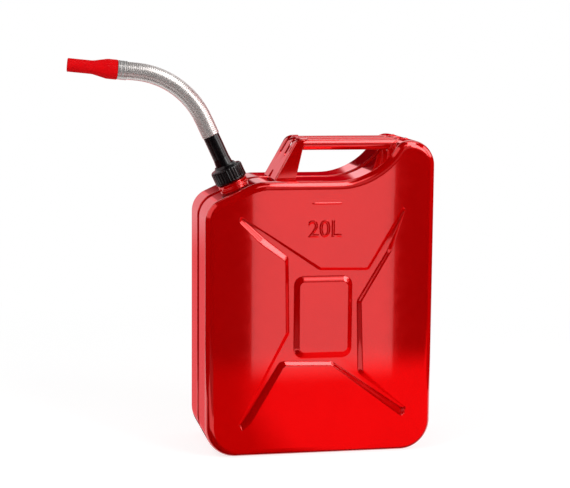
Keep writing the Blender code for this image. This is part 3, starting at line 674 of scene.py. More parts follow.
SIDE = outline(
    (-172.5, 0, 46, 18), (172.5, 0, 46, 18),
    (172.5, 471, 38, 18), (120.64, 471, 25, 12),
    (82, 411.5, 105, 16), (-94.8, 411.5, 80, 10),
    (-172.5, 375.27, 34, 14),
)
STAR_TOP = outline(
    (-122.6, 363.3, 3), (-123.2, 352.3, 3), (-91.9, 319.6, 40, 3),
    (-55.2, 293.4, 5), (-53.3, 186.3, 7), (-123.2, 50.1, 1.5),
    (-117.3, 40, 1.2), (-104.6, 50.3, 30, 3), (-54.3, 136.4, 6),
    (18.9, 134.3, 5), (126, 52.9, 2, 3), (131.2, 58.5, 1.5),
    (133, 67.9, 1.5), (66.4, 124.7, 8), (62.3, 230.6, 8),
    (106.4, 304.8, 40, 3), (126.9, 369.5, 2), (123, 373.4, 2),
    (69.5, 282.7, 4), (-0.9, 284.2, 5),
)
STAR_FLOOR = outline(
    (-118.7, 358.4, 0.4), (-118.2, 357.6, 0.4), (-85.3, 329.7, 40, 3),
    (-48.8, 300.7, 10), (-46.4, 184.6, 12), (-120.6, 49.9, 0.4),
    (-119.9, 48.9, 0.4), (-109.3, 65, 30, 3), (-60.5, 144.7, 12),
    (17.6, 142.1, 9), (125.5, 67.9, 8, 3), (130, 66.2, 0.4),
    (130.4, 67.2, 0.4), (57.2, 122, 16), (54.6, 232.4, 14),
    (100.3, 308.2, 40, 3), (124.9, 363.3, 0.3), (124.5, 363.9, 0.3),
    (72.9, 277.5, 8), (-2.6, 279.1, 9),
)
PANEL_TOP = outline(
    (-31.6, 156.6, 7), (40.6, 156.6, 7),
    (40.6, 261.2, 7), (-31.6, 261.2, 7),
)
PANEL_FLOOR = outline(
    (-40.8, 146.6, 15), (48.4, 146.6, 15),
    (48.4, 271.8, 15), (-40.8, 271.8, 15),
)


def ease(share: float) -> float:
    """Ease a share from 0 to 1 in and out."""
    return share * share * (3.0 - 2.0 * share)


def pressed(share: float, bend: float = 0.26) -> float:
    """Depth along a pressed wall: straight down its middle, bent round at both ends.

    Args:
        share: Share of the wall's width, from 0 to 1.
        bend: Share of the width that each bend takes.

    Returns:
        Share of the full depth.
    """
    if share < bend:
        return share * share / (2 * bend * (1 - bend))
    if share > 1 - bend:
        return 1 - (1 - share) ** 2 / (2 * bend * (1 - bend))
    return (share - bend / 2) / (1 - bend)


@dataclass
class PressedShell:
    """One pressed half of the can, from the seam recess to the patterned face."""

    half: Half
    finish: Material
    seam_half_width: float = 9.0
    lip: float = 2.5
    edge: float = 12.0
    sheet: float = 1.0
    press: float = 4.5
    gap: float = 0.15
    shares: tuple[float, ...] = (0, 0.07, 0.15, 0.25, 0.5, 0.75, 0.85, 0.93, 1)
    hole_radius: float = 22.7
    hole_ends: Pair = (-30, 20)

    def section(self) -> list[Pair]:
        """Cross-section from seam to face, as inset and distance from the middle plane."""
        return outline(
            (SEAM_DEPTH, self.gap), (SEAM_DEPTH, self.seam_half_width, 2, 4),
            (0, self.seam_half_width, self.lip, 6),
            (0, FACE, self.edge, 12), (self.edge + 0.01, FACE), closed=False,
        ).inset()

    def ring(self, outline: Outline, inset: float, distance: float) -> Ring:
        """Lay an outline at an inset and a distance from the middle plane."""
        return [at(x, self.half.value * distance, z) for x, z in outline.inset(inset)]

    def wall(self, name: str, top: Outline, foot: Outline) -> Piece:
        """Press a wall down from one outline on the face to another on the star's floor.

        Args:
            name: Name of the new piece.
            top: Outline at the face's level.
            foot: Outline at the floor's level, with the same corners.

        Returns:
            The wall as an open skin.
        """
        rings = []
        for share in self.shares:
            y = self.half.value * (FACE - self.press * pressed(share))
            rings.append([at(x + (to_x - x) * share, y, z + (to_z - z) * share)
                          for (x, z), (to_x, to_z) in zip(top.inset(), foot.inset())])
        return skin(name, rings)

    def level(self, piece: Piece, depth: float) -> None:
        """Fill between the open edges that lie at a depth below the face."""
        wanted = self.half.value * (FACE - depth) * MM
        uses: dict[tuple[int, int], int] = {}
        for polygon in piece.data.polygons:
            for key in polygon.edge_keys:
                uses[key] = uses.get(key, 0) + 1
        rim = {index for key, count in uses.items() if count == 1 for index in key}
        pick(piece, lambda vertex: vertex.index in rim and abs(vertex.co.y - wanted) < 1e-6)
        bpy.ops.mesh.fill()
        leave()

    def build(self) -> Piece:
        """Model the half: sides, pressed star, raised panel, then the sheet's thickness."""
        name = f"{self.half.name.lower()}_shell_sheet"
        sides = skin(name, [self.ring(SIDE, inset, distance)
                            for inset, distance in self.section()])
        star = self.wall("star_press", STAR_TOP, STAR_FLOOR)
        panel = self.wall("panel_press", PANEL_TOP, PANEL_FLOOR)
        start = len(PANEL_TOP.inset())
        pick(panel, lambda vertex: vertex.index < start)
        bpy.ops.mesh.edge_face_add()
        leave()
        piece = join(name, sides, star, panel)
        self.level(piece, 0)
        self.level(piece, self.press)
        tidy_mesh(piece)
        modify(piece, "SOLIDIFY", thickness=self.sheet * MM, offset=-1)
        low, high = self.hole_ends
        hole = turned("neck_hole", NECK_AXIS, profile(
            (0.5, low), (self.hole_radius, low), (self.hole_radius, high), (0.5, high)), 96)
        cut(piece, hole)
        smooth(piece, SHEET_ANGLE)
        return dress(piece, self.finish, "can", self.slot(), self.slot())

    def slot(self) -> str:
        """Name of the CAD node that the half stands for."""
        return f"{self.half.name.lower()}_shell"


NECK_AXIS = Axis(-119, 400.22, -25)
NOZZLE_AXIS = Axis(-290.73, 571.35, -84.5)


@dataclass
class BodyDetails:
    """Weld bead in the seam, volume mark and filling line on the faces."""

    finish: Material
    bead: float = 1.5
    bead_step: float = 3.0
    neck_room: float = 26.0
    text_height: float = 26.0
    capital: float = 0.73
    text_place: Pair = (-21, 330)
    text_scale: Triple = (0.95, 0.97, 0.32)
    text_bevel: float = 2.1
    text_thin: float = 1.15
    bar_ends: Pair = (-18, 33)
    bar_height: float = 379.0
    bar_radius: float = 2.0
    bar_sunk: float = 1.2
    bar_steps: int = 16

    def seam(self) -> None:
        """Weld bead along the seam's floor, broken where the neck stands in it."""
        flat = SIDE.inset(SEAM_DEPTH)
        dense: list[Pair] = []
        for index, (x, z) in enumerate(flat):
            after_x, after_z = flat[(index + 1) % len(flat)]
            count = max(1, round(math.hypot(after_x - x, after_z - z) / self.bead_step))
            dense += [(x + (after_x - x) * step / count, z + (after_z - z) * step / count)
                      for step in range(count)]
        clear = [math.hypot(x - NECK_AXIS.x, z - NECK_AXIS.z) > self.neck_room
                 for x, z in dense]
        start = next(i for i in range(len(dense)) if clear[i] and not clear[i - 1])
        order = [*range(start, len(dense)), *range(start)]
        path = [at(dense[i][0], 0, dense[i][1]) for i in order if clear[i]]
        bead("seam_weld", path, self.bead, self.finish, "front_shell", wave=(0.10, 2.1))

    def volume(self) -> None:
        """Raised volume mark above the star."""
        deselect()
        x, z = self.text_place
        bpy.ops.object.text_add(location=at(x, -FACE, z), rotation=(math.pi / 2, 0, 0))
        words = bpy.context.object
        words.data.body = "20L"
        words.data.size = self.text_height / self.capital * MM
        words.data.bevel_depth = self.text_bevel * MM
        words.data.bevel_resolution = 0
        words.data.offset = -self.text_thin * MM
        words.scale = self.text_scale
        take(words)
        bpy.ops.object.convert(target="MESH")
        bpy.ops.object.transform_apply()
        piece = named("volume_mark")
        tidy_mesh(piece, 1e-5)
        smooth(piece, 50)
        dress(piece, self.finish, "can", "front_shell")

    def line(self) -> None:
        """Short raised line above the volume mark."""
        left, right = self.bar_ends
        count = self.bar_steps
        path = [at(left + (right - left) * i / count, self.bar_sunk - FACE, self.bar_height)
                for i in range(count + 1)]
        bead("filling_line", path, self.bar_radius, self.finish, "front_shell",
             fade=(0.3, 2.5), sides=12)

    def build(self) -> None:
        """Make the details."""
        self.seam()
        self.volume()
        self.line()


@dataclass
class HandleTube:
    """One straight handle tube, welded to the hump at its right end."""

    name: str
    y: float
    seat: Seat
    finish: Material
    radius: float = 8.0
    wall: float = 1.5
    height: float = 462.5
    left: float = -21.1
    right: float = 134.0
    sunk: float = 0.4
    spare: float = 3.0
    hump_ends: Pair = (60, 150)
    hump_foot: float = 400.0
    bead: float = 1.7
    bead_out: float = 0.5
    bead_steps: int = 48

    def build(self) -> None:
        """Turn the tube, cut its end to the can's skin and lay the weld round it."""
        length = self.right - self.left
        inner = self.radius - self.wall
        tube = turned(self.name + "_tube", Axis(self.left, self.height, 90, self.y), profile(
            (inner, 0, 0.4), (inner, length), (self.radius, length), (self.radius, 0, 0.6)), 64)
        reach = self.radius + self.spare
        flat = SIDE.inset(self.seat.value + self.sunk)
        core = skin("body_core", [[at(x, self.y + side * reach, z) for x, z in flat]
                                  for side in (-1, 1)], ends=True)
        cut(tube, core)
        smooth(tube)
        dress(tube, self.finish, "can", self.name, self.name)
        self.weld()

    def wall_x(self, z: float) -> float:
        """Where the hump's rising wall stands at a height."""
        low, high = self.hump_ends
        wall = [(x, h) for x, h in SIDE.inset(self.seat.value)
                if low < x < high and h > self.hump_foot]
        wall.sort(key=lambda point: point[1])
        for (x, h), (after_x, after_h) in zip(wall, wall[1:]):
            if h <= z <= after_h and after_h > h:
                return x + (after_x - x) * (z - h) / (after_h - h)
        return wall[-1][0]

    def weld(self) -> None:
        """Weld bead where the tube meets the hump."""
        reach = self.radius + self.bead_out
        top = self.height + self.radius - self.seat.value
        path = []
        for angle in turns(self.bead_steps):
            z = min(self.height + math.sin(angle) * reach, top)
            path.append(at(self.wall_x(z), self.y + math.cos(angle) * reach, z))
        bead(self.name + "_weld", path, self.bead, self.finish, self.name, wave=(0.12, 2.4),
             closed=True)


@dataclass
class HandleBracket:
    """Bent channel on the shoulder, a rounded copy of the CAD sheet."""

    finish: Material
    round_edge: float = 0.8

    def build(self) -> Piece:
        """Merge a copy of the CAD sheet, then round its edges."""
        source = frame["nodes"]["handle_bracket"]
        take(source)
        bpy.ops.object.duplicate()
        piece = named("handle_bracket_sheet")
        for key in list(piece.keys()):
            del piece[key]
        bpy.ops.object.parent_clear(type="CLEAR_KEEP_TRANSFORM")
        tidy_mesh(piece, 1e-5)
        modify(piece, "DECIMATE", decimate_type="DISSOLVE", angle_limit=math.radians(1))
        modify(piece, "BEVEL", width=self.round_edge * MM, segments=3, limit_method="ANGLE",
               angle_limit=math.radians(SHEET_ANGLE), use_clamp_overlap=True)
        smooth(piece)
        return dress(piece, self.finish, "can", "handle_bracket", "handle_bracket")


@dataclass
class HandleCover:
    """Slanted outer plate whose three tongues roll over the ends of the tubes."""

    finish: Material
    foot: Pair = (-65, 411.8)
    slant: float = 60.5
    straight: float = 60.18
    bend: float = 16.0
    reach: float = 84.1
    half_width: float = 44.8
    slot_middle: float = 18.75
    slot_half: float = 6.0
    slot_low: float = 38.0
    slot_round: float = 5.8
    arch: float = 12.6
    arch_foot: float = 9.0
    arch_top: float = 4.5
    hole_height: float = 50.6
    hole_half: Pair = (1.9, 4.4)
    hole_round: float = 1.8
    sheet: float = 1.5
    bulge: float = 1.2
    bulge_low: float = 22.0
    bulge_rise: float = 30.0
    rolled: float = 1.6
    rolled_width: float = 4.0

    def outline(self) -> Outline:
        """Flat outline of the plate, across and along it, with its slots and foot arch."""
        wide, top, low, bend = self.half_width, self.reach, self.slot_low, self.slot_round
        near, far = self.slot_middle - self.slot_half, self.slot_middle + self.slot_half
        half = ((self.arch_top, self.arch, 3), (self.arch_foot, 0), (wide, 0, 1.5),
                (wide, top, 4), (far, top, 3), (far, low, bend, 8), (near, low, bend, 8),
                (near, top, 3))
        other = [(-x, *rest) for x, *rest in reversed(half)]
        return outline(*other[-3:], *half, *other[:-3])

    def hole(self, across: float) -> list[Pair]:
        """Rounded hole in a tongue."""
        x, s = self.hole_half
        corners = ((-x, -s), (x, -s), (x, s), (-x, s))
        flat = outline(*((*corner, self.hole_round, 5) for corner in corners)).inset()
        return [(across + x, self.hole_height + s) for x, s in flat]

    def bent(self, across: float, along: float) -> Vector:
        """Place of a flat point on the bent plate, its tongues bulged and its sides rolled."""
        angle = math.radians(self.slant)
        beyond = max(0, along - self.straight)
        rest = min(beyond, angle * self.bend)
        lean = angle - rest / self.bend
        ahead = min(along, self.straight)
        x, z = self.foot
        x += math.cos(angle) * ahead + self.bend * (math.sin(angle) - math.sin(lean))
        x += max(0, beyond - angle * self.bend)
        z += math.sin(angle) * ahead + self.bend * (math.cos(lean) - math.cos(angle))
        lift = -self.bulge
        edges = (-self.half_width, -self.slot_middle, self.slot_middle, self.half_width)
        for low, high in zip(edges, edges[1:]):
            if low <= across <= high:
                share = (across - (low + high) / 2) / ((high - low) / 2)
                grow = ease(min(1, max(0, (along - self.bulge_low) / self.bulge_rise)))
                lift += self.bulge * grow * (1.0 - share ** 2) + self.bulge * (1.0 - grow) * 0.6
        side = max(0, abs(across) - (self.half_width - self.rolled_width)) / self.rolled_width
        lift -= self.rolled * side ** 2
        return at(x - math.sin(lean) * lift, across, z + math.cos(lean) * lift)

    def flat(self, points: Sequence[Pair]) -> list[Vector]:
        """Points of the flat plate before it is bent."""
        return [Vector((across * MM, along * MM, 0)) for across, along in points]

    def build(self) -> None:
        """Fill the flat outline, cut it into strips, bend it and give it thickness."""
        piece = loop("handle_cover_plate", self.flat(self.outline().inset()))
        for side in (-1, 1):
            hole = loop("lobe_hole", self.flat(self.hole(side * TUBE_SPACING)))
            piece = join("handle_cover_plate", piece, hole)
        edit(piece)
        bpy.ops.mesh.fill()
        stations = [((0, 1, 0), s) for s in (*range(4, 58, 4), *range(58, 84, 2))]
        stations += [((1, 0, 0), a) for a in range(-43, 44, 2)]
        for direction, place in stations:
            bpy.ops.mesh.select_all(action="SELECT")
            bpy.ops.mesh.bisect(plane_co=[d * place * MM for d in direction], plane_no=direction)
        leave()
        for vertex in piece.data.vertices:
            vertex.co = self.bent(vertex.co.x / MM, vertex.co.y / MM)
        tidy_mesh(piece)
        modify(piece, "SOLIDIFY", thickness=self.sheet * MM, offset=-1, use_even_offset=True)
        smooth(piece, 50)
        dress(piece, self.finish, "can", "handle_cover", "handle_cover")


@dataclass
class FillerNeck:
    """Collar through both halves, stepped in to a threaded rim, with its gasket and vent pipe."""

    finish: Material
    rubber: Material
    zinc: Material
    collar: float = 22.5
    collar_height: float = 6.0
    radius: float = 18.5
    height: float = 20.0
    wall: float = 1.6
    inside: float = 14.0
    lead: float = 6.0
    thread_low: float = 9.6
    thread_turns: float = 1.25
    thread_radius: float = 1.6
    thread_steps: int = 64
    bead: float = 1.5
    bead_ends: Pair = (28, 152)
    bead_steps: int = 48

    def tube(self) -> None:
        """Turn the neck."""
        collar_bore, bore = self.collar - self.wall, self.radius - self.wall
        step, low = self.collar_height, -self.inside
        lathed("filler_neck_tube", NECK_AXIS, profile(
            (self.radius, self.height, 0.7), (self.radius, step, 1.2),
            (self.collar, step, 1.4), (self.collar, low, 0.4),
            (collar_bore, low, 0.4), (collar_bore, step - self.wall, 0.8),
            (bore, step - self.wall, 0.6), (bore, self.height, 0.7)),
            self.finish, "can", "filler_neck")

    def thread(self) -> None:
        """Coarse thread round the rim, faded at both ends."""
        steps = self.thread_steps
        count = round(steps * self.thread_turns)
        path = [NECK_AXIS.point(self.radius + 0.1, self.thread_low + self.lead * i / steps,
                                2 * math.pi * i / steps) for i in range(count + 1)]
        bead("neck_thread", path, self.thread_radius, self.finish, "filler_neck",
             fade=(0.15, 8), sides=10)

    def welds(self) -> None:
        """Weld bead round the collar on each half's slope."""
        low, high = self.bead_ends
        count = self.bead_steps
        for side in Half:
            path = [NECK_AXIS.point(self.collar + 0.3, 0.3, side.value * math.radians(
                low + (high - low) * step / count)) for step in range(count + 1)]
            bead(f"neck_weld_{side.name.lower()}", path, self.bead, self.finish, "filler_neck",
                 wave=(0.12, 2.3), fade=(0.3, 4))

    def gasket(self) -> None:
        """Sealing ring on the rim."""
        lathed("neck_gasket_ring", NECK_AXIS, profile(
            (18.8, 20.3, 0.5), (18.8, 22.7, 0.5), (15.6, 22.7, 0.5), (15.6, 20.3, 0.5)),
            self.rubber, "seal", "neck_gasket", 96)

    def build(self) -> None:
        """Make the neck and what belongs to it."""
        self.tube()
        self.thread()
        self.welds()
        self.gasket()
        paint(frame["nodes"]["breather_pipe"], self.zinc)


@dataclass
class CouplingNut:
    """Ribbed screw nut with a low cone on top."""

    finish: Material
    low: float = 7.6
    top: float = 29.1
    cone_top: float = 33.6
    radius: float = 24.4
    rib: float = 0.8
    ribs: int = 30
    bore: float = 19.1
    roof: float = 26.3
    hole: float = 13.9
    cone: float = 16.0
    rib_steps: int = 8
    sharp: float = 0.7

    def ring(self, radius: float, depth: float, height: float) -> Ring:
        """Ring of the grip at a height, its ribs as deep as asked."""
        grooves = [max(0, math.cos(a)) ** self.sharp for a in turns(self.rib_steps)] * self.ribs
        return [NECK_AXIS.point(radius - depth * groove, height, turn)
                for groove, turn in zip(grooves, turns(len(grooves)))]

    def build(self) -> None:
        """Model the nut from its skirt over the cone and down its bore."""
        rim, low, top, rib = self.radius, self.low, self.top, self.rib
        cone, cone_top, hole = self.cone, self.cone_top, self.hole
        bore, roof = self.bore, self.roof
        levels = (
            (bore, 0, low + 0.8), (bore + 0.8, 0, low), (rim - 1, 0, low),
            (rim - 0.3, 0, low + 0.3), (rim, 0, low + 1), (rim, 0, low + 2.2),
            (rim - 0.1, rib * 0.6, low + 2.8), (rim - 0.1, rib, low + 3.6),
            (rim - 0.1, rib, top - 3), (rim - 0.4, rib * 0.6, top - 2),
            (rim - 0.9, 0.2, top - 1), (rim - 1.9, 0, top - 0.2), (rim - 3.2, 0, top + 0.1),
            (cone + 2.2, 0, top + 0.9), (cone + 0.6, 0, top + 2.2),
            (cone - 0.1, 0, cone_top - 0.8), (cone - 0.8, 0, cone_top),
            (hole + 0.5, 0, cone_top), (hole, 0, cone_top - 0.5),
            (hole, 0, roof), (bore - 0.4, 0, roof), (bore, 0, roof - 0.4),
        )
        piece = skin("coupling_nut_body", [self.ring(*level) for level in levels], joined=True)
        smooth(piece, 45)
        dress(piece, self.finish, "nut", "coupling_nut", "coupling_nut")


@dataclass
class SpoutAdapter:
    """Black tube with its flange, spigot and hose socket."""

    finish: Material
    steel: Material

    def build(self) -> None:
        """Turn the adapter and the sleeve inside the hose."""
        lathed("spout_adapter_tube", NECK_AXIS, profile(
            (12.2, 81.6, 0.8), (12.2, 44.6, 20), (13.3, 33.6, 6), (13.3, 26, 0.4),
            (18.8, 26, 0.5), (18.8, 23, 0.5), (15.2, 23, 0.3), (15.2, 14, 0.8),
            (7.4, 14, 0.6), (7.4, 61.6, 0.4), (9.5, 61.6, 0.4), (9.5, 81.6, 0.5)),
            self.finish, "spout", "spout_adapter")
        lathed("hose_sleeve_lower", NECK_AXIS, profile(
            (9.2, 101.9, 0.3), (9.2, 61.9, 0.3), (8.4, 61.9, 0.3), (8.4, 101.9, 0.3)),
            self.steel, "spout", "hose_ferrule_lower", 64)


@dataclass
class SpoutHose:
    """Corrugated metal hose: one rib turned, repeated and laid along the hose's line."""

    finish: Material
    start: float = 81.9
    length: float = 180.5
    bend: float = 123.0
    angle: float = 59.5
    crest: float = 13.2
    root: float = 12.7
    wall: float = 0.45
    ribs: int = 60
    sides: int = 44
    line_steps: int = 180
    blend_ends: Pair = (26.4, 154.1)

    def place(self, distance: float) -> Vector:
        """Point of the hose's middle line at a distance from its lower end."""
        turn = math.radians(self.angle)
        straight = (self.length - self.bend * turn) / 2
        along = self.start + min(distance, straight)
        arc = min(max(distance - straight, 0), self.bend * turn)
        rest = max(distance - straight - self.bend * turn, 0)
        lean = arc / self.bend
        out = -self.bend * (1.0 - math.cos(lean)) - rest * math.sin(lean)
        along += self.bend * math.sin(lean) + rest * math.cos(lean)
        return NECK_AXIS.point(out, along)

    def rib(self) -> list[Pair]:
        """Half section of one rib, as radius and height above the pitch's start."""
        pitch = self.length / self.ribs
        shape = ((0, 0), (0.05, 0.06), (0.08, 0.80), (0.10, 0.97), (0.13, 1),
                 (0.5, 1), (0.87, 1), (0.90, 0.97), (0.92, 0.80), (0.95, 0.06), (1, 0))
        return [(self.root + (self.crest - self.root) * rise, pitch * share)
                for share, rise in shape]

    def build(self) -> None:
        """Turn one rib at the frame's origin, repeat it and bend the row along the line."""
        pitch = self.length / self.ribs
        rings = [[Vector((math.cos(a) * radius, math.sin(a) * radius, height)) * MM
                  for a in turns(self.sides)] for radius, height in self.rib()]
        piece = skin("spout_hose_tube", rings)
        modify(piece, "ARRAY", count=self.ribs, use_relative_offset=False,
               use_constant_offset=True, constant_offset_displace=(0, 0, pitch * MM),
               use_merge_vertices=True, merge_threshold=1e-5)
        deselect()
        line = bpy.data.curves.new("hose_line", "CURVE")
        line.dimensions = "3D"
        spline = line.splines.new("POLY")
        count = self.line_steps
        spline.points.add(count)
        for index in range(count + 1):
            spline.points[index].co = (*self.place(self.length * index / count), 1)
        route = put("hose_line", line)
        modify(piece, "CURVE", object=route, deform_axis="POS_Z")
        bpy.data.objects.remove(route)
        tidy_mesh(piece)
        modify(piece, "SOLIDIFY", thickness=self.wall * MM, offset=-1)
        smooth(piece, 70, weighted=False)
        paint(piece, self.finish)
        start, end = (self.place(distance) for distance in self.blend_ends)
        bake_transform(piece)
        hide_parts("spout_hose")
        deselect()
        LOG.info("%s: %d faces between spout and nozzle", piece.name, len(piece.data.polygons))


@dataclass
class Nozzle:
    """Steel sleeve on the hose's upper end and the moulded pouring tip."""

    steel: Material
    plastic: Material

    def build(self) -> None:
        """Turn the sleeve with its crimps and spigot, and the tip drawn in to its tube."""
        lathed("hose_sleeve_upper", NOZZLE_AXIS, profile(
            (9.2, 21.8, 0.3), (9.2, 1.8, 0.3), (14.1, 1.8, 0.7), (14.1, -3, 0.6),
            (13.75, -3.6, 0.4), (14.1, -4.2, 0.6), (14.1, -8.4, 0.6), (13.75, -9, 0.4),
            (14.1, -9.6, 0.6), (14.1, -12, 0.4), (13.5, -12, 0.2), (13.5, 0.3, 0.2),
            (8.4, 0.3, 0.2), (8.4, 21.8, 0.3)), self.steel, "nozzle", "hose_ferrule_upper")
        lathed("nozzle_tip_moulding", NOZZLE_AXIS, profile(
            (10, 75.1, 1), (10, 38.1, 26), (14.7, 17, 16), (14.7, 2.1, 0.9),
            (9.5, 2.1, 0.4), (9.5, 22.1, 0.3), (7.4, 22.1, 0.3), (7.4, 75.1, 0.6)),
            self.plastic, "nozzle", "nozzle_tip")


# Camera, light and floor


@dataclass(frozen=True)
class Camera:
    """The photograph's viewpoint."""

    target: Triple = (-39.2, 0, 308.4)
    distance: float = 2435.0
    azimuth: float = 11.1
    pitch: float = 7.92
    roll: float = 0.485
    focal: float = 1600.0
    frame_width: float = 570.0
    sensor: float = 36.0
    far: float = 50.0

    def build(self) -> None:
        """Add the camera and set it as the scene's."""
        turn, dip, lean = (math.radians(a) for a in (self.azimuth, self.pitch, self.roll))
        ahead = Vector((math.sin(turn) * math.cos(dip), math.cos(turn) * math.cos(dip),
                        -math.sin(dip)))
        level = Vector((math.cos(turn), -math.sin(turn), 0))
        above = level.cross(ahead)
        right = level * math.cos(lean) + above * math.sin(lean)
        up = right.cross(ahead)
        data = bpy.data.cameras.new("photo_camera")
        data.sensor_width = self.sensor
        data.lens = self.focal / self.frame_width * self.sensor
        data.clip_end = self.far
        camera = put("photo_camera", data)
        turned_to = Matrix((right, up, -ahead)).transposed().to_4x4()
        place = at(*self.target) - ahead * self.distance * MM
        camera.matrix_world = Matrix.Translation(place) @ turned_to
        bpy.context.scene.camera = camera


@dataclass(frozen=True)
class Lamp:
    """One soft lamp, left out of reflections."""

    name: str
    place: Triple
    power: float
    size: float = 1200.0
    aim: Triple = (0, 0, 250)

    def build(self) -> None:
        """Add the lamp, turned towards its aim."""
        data = bpy.data.lights.new(self.name, "AREA")
        data.size = self.size * MM
        data.energy = self.power
        lamp = put(self.name, data)
        lamp.location = at(*self.place)
        way = at(*self.aim) - lamp.location
        lamp.rotation_euler = way.to_track_quat("-Z", "Y").to_euler()
        lamp.visible_glossy = False
        lamp.visible_camera = False


@dataclass(frozen=True)
class Patch:
    """A lit patch of a card, faded at its edges.

    Each axis is given as its two ends, then the width of the fade, or one width for each end.
    An axis left out is lit from end to end.
    """

    colour: Colour
    x: tuple[float, ...] = ()
    y: tuple[float, ...] = ()
    z: tuple[float, ...] = ()
    fade: float = 60.0

    def level(self, nodes: Nodes) -> Socket:
        """Give the patch's share of light at each place on the card."""
        places = nodes.add("ShaderNodeSeparateXYZ", Vector=nodes.place).outputs
        share = nodes.add("ShaderNodeValue").outputs[0]
        share.default_value = 1.0
        for axis, span in zip("XYZ", (self.x, self.y, self.z)):
            if not span:
                continue
            middle = CAN_MIDDLE if axis == "X" else 0.0
            low, high = (middle + end * MM for end in span[:2])
            fades = span[2:] or (self.fade,)
            half, half_high = fades[0] * MM / 2, fades[-1] * MM / 2
            rise = nodes.spread(places[axis], low - half, low + half, 0, 1, True)
            fall = nodes.spread(places[axis], high - half_high, high + half_high, 1, 0, True)
            share = nodes.maths("MULTIPLY", share, nodes.maths("MULTIPLY", rise, fall))
        return share


@dataclass(frozen=True)
class Card:
    """A flat card that only reflections show, black apart from its lit patches."""

    name: str
    low: Triple
    high: Triple
    patches: tuple[Patch, ...]

    def build(self) -> None:
        """Lay a plane on the card's corners and light its patches."""
        deselect()
        low, high = at(*self.low), at(*self.high)
        middle, size = (low + high) / 2, high - low
        flat = min(range(3), key=lambda axis: abs(size[axis]))
        first, second = (axis for axis in range(3) if axis != flat)
        bpy.ops.mesh.primitive_plane_add(size=1, location=middle)
        card = named(self.name)
        corners = []
        for one, two in ((-0.5, -0.5), (0.5, -0.5), (-0.5, 0.5), (0.5, 0.5)):
            corner = middle.copy()
            corner[first] += one * size[first]
            corner[second] += two * size[second]
            corners.append(corner)
        bpy.ops.object.transform_apply()
        lay(card, corners)
        nodes = Nodes(self.name)
        glow = nodes.add("ShaderNodeEmission", Color=(0, 0, 0, 1)).outputs[0]
        for patch in self.patches:
            light = nodes.add("ShaderNodeEmission", Color=(*patch.colour, 1),
                              Strength=patch.level(nodes))
            glow = nodes.combine("ShaderNodeAddShader", glow, light.outputs[0])
        nodes.finish(glow)
        card.data.materials.append(nodes.material)
        for kind in ("camera", "diffuse", "transmission", "volume_scatter", "shadow"):
            setattr(card, f"visible_{kind}", False)


@dataclass(frozen=True)
class Studio:
    """White studio: pale floor, white surroundings, lamps, and cards for the reflections."""

    lamps: tuple[Lamp, ...]
    cards: tuple[Card, ...]
    ambient: float = 0.34
    floor_pale: float = 0.45
    floor_glow: float = 0.76
    floor_lit: float = 0.85
    near: Pair = (0.5, 1.3)

    def seen(self, nodes: Nodes) -> Socket:
        """Give 1 for rays that show the background, and 0 for those that light the object."""
        rays = nodes.add("ShaderNodeLightPath").outputs
        both = nodes.maths("MAXIMUM", rays["Is Glossy Ray"], rays["Is Transmission Ray"])
        return nodes.maths("MAXIMUM", rays["Is Camera Ray"], both)

    def world(self) -> None:
        """White surroundings for the eye and for reflections, dim ones for soft light."""
        world = bpy.data.worlds.new("studio")
        bpy.context.scene.world = world
        nodes = Nodes("studio", world)
        level = nodes.spread(self.seen(nodes), 0, 1, self.ambient, 1)
        sky = nodes.add("ShaderNodeBackground", Color=(*grey(1), 1), Strength=level)
        nodes.finish(sky.outputs[0])

    def floor(self) -> None:
        """Pale floor that keeps a soft shadow near the can and is plain white far from it."""
        deselect()
        bpy.ops.mesh.primitive_grid_add(x_subdivisions=8, y_subdivisions=8, size=60,
                                        location=at(0, 0, 0))
        bpy.ops.object.transform_apply()
        floor = named("studio_floor")
        nodes = Nodes("studio_floor")
        pale = nodes.add("ShaderNodeBsdfDiffuse", Color=(*grey(self.floor_pale), 1))
        glow = nodes.add("ShaderNodeEmission", Strength=self.floor_glow)
        white = nodes.add("ShaderNodeEmission", Strength=1)
        lit = nodes.add("ShaderNodeBsdfDiffuse", Color=(*grey(self.floor_lit), 1))
        reach = nodes.add("ShaderNodeVectorMath", operation="LENGTH", Vector=nodes.place)
        away = nodes.spread(reach.outputs["Value"], *self.near, 0, 1, True)
        both = nodes.combine("ShaderNodeAddShader", pale.outputs[0], glow.outputs[0])
        shown = nodes.combine("ShaderNodeMixShader", away, both, white.outputs[0])
        nodes.finish(nodes.combine("ShaderNodeMixShader", self.seen(nodes), lit.outputs[0], shown))
        floor.data.materials.append(nodes.material)
        floor.visible_glossy = False

    def build(self) -> None:
        """Set the stage and the view transform."""
        bpy.context.scene.view_settings.view_transform = "Standard"
        self.world()
        self.floor()
        for made in (*self.cards, *self.lamps):
            made.build()


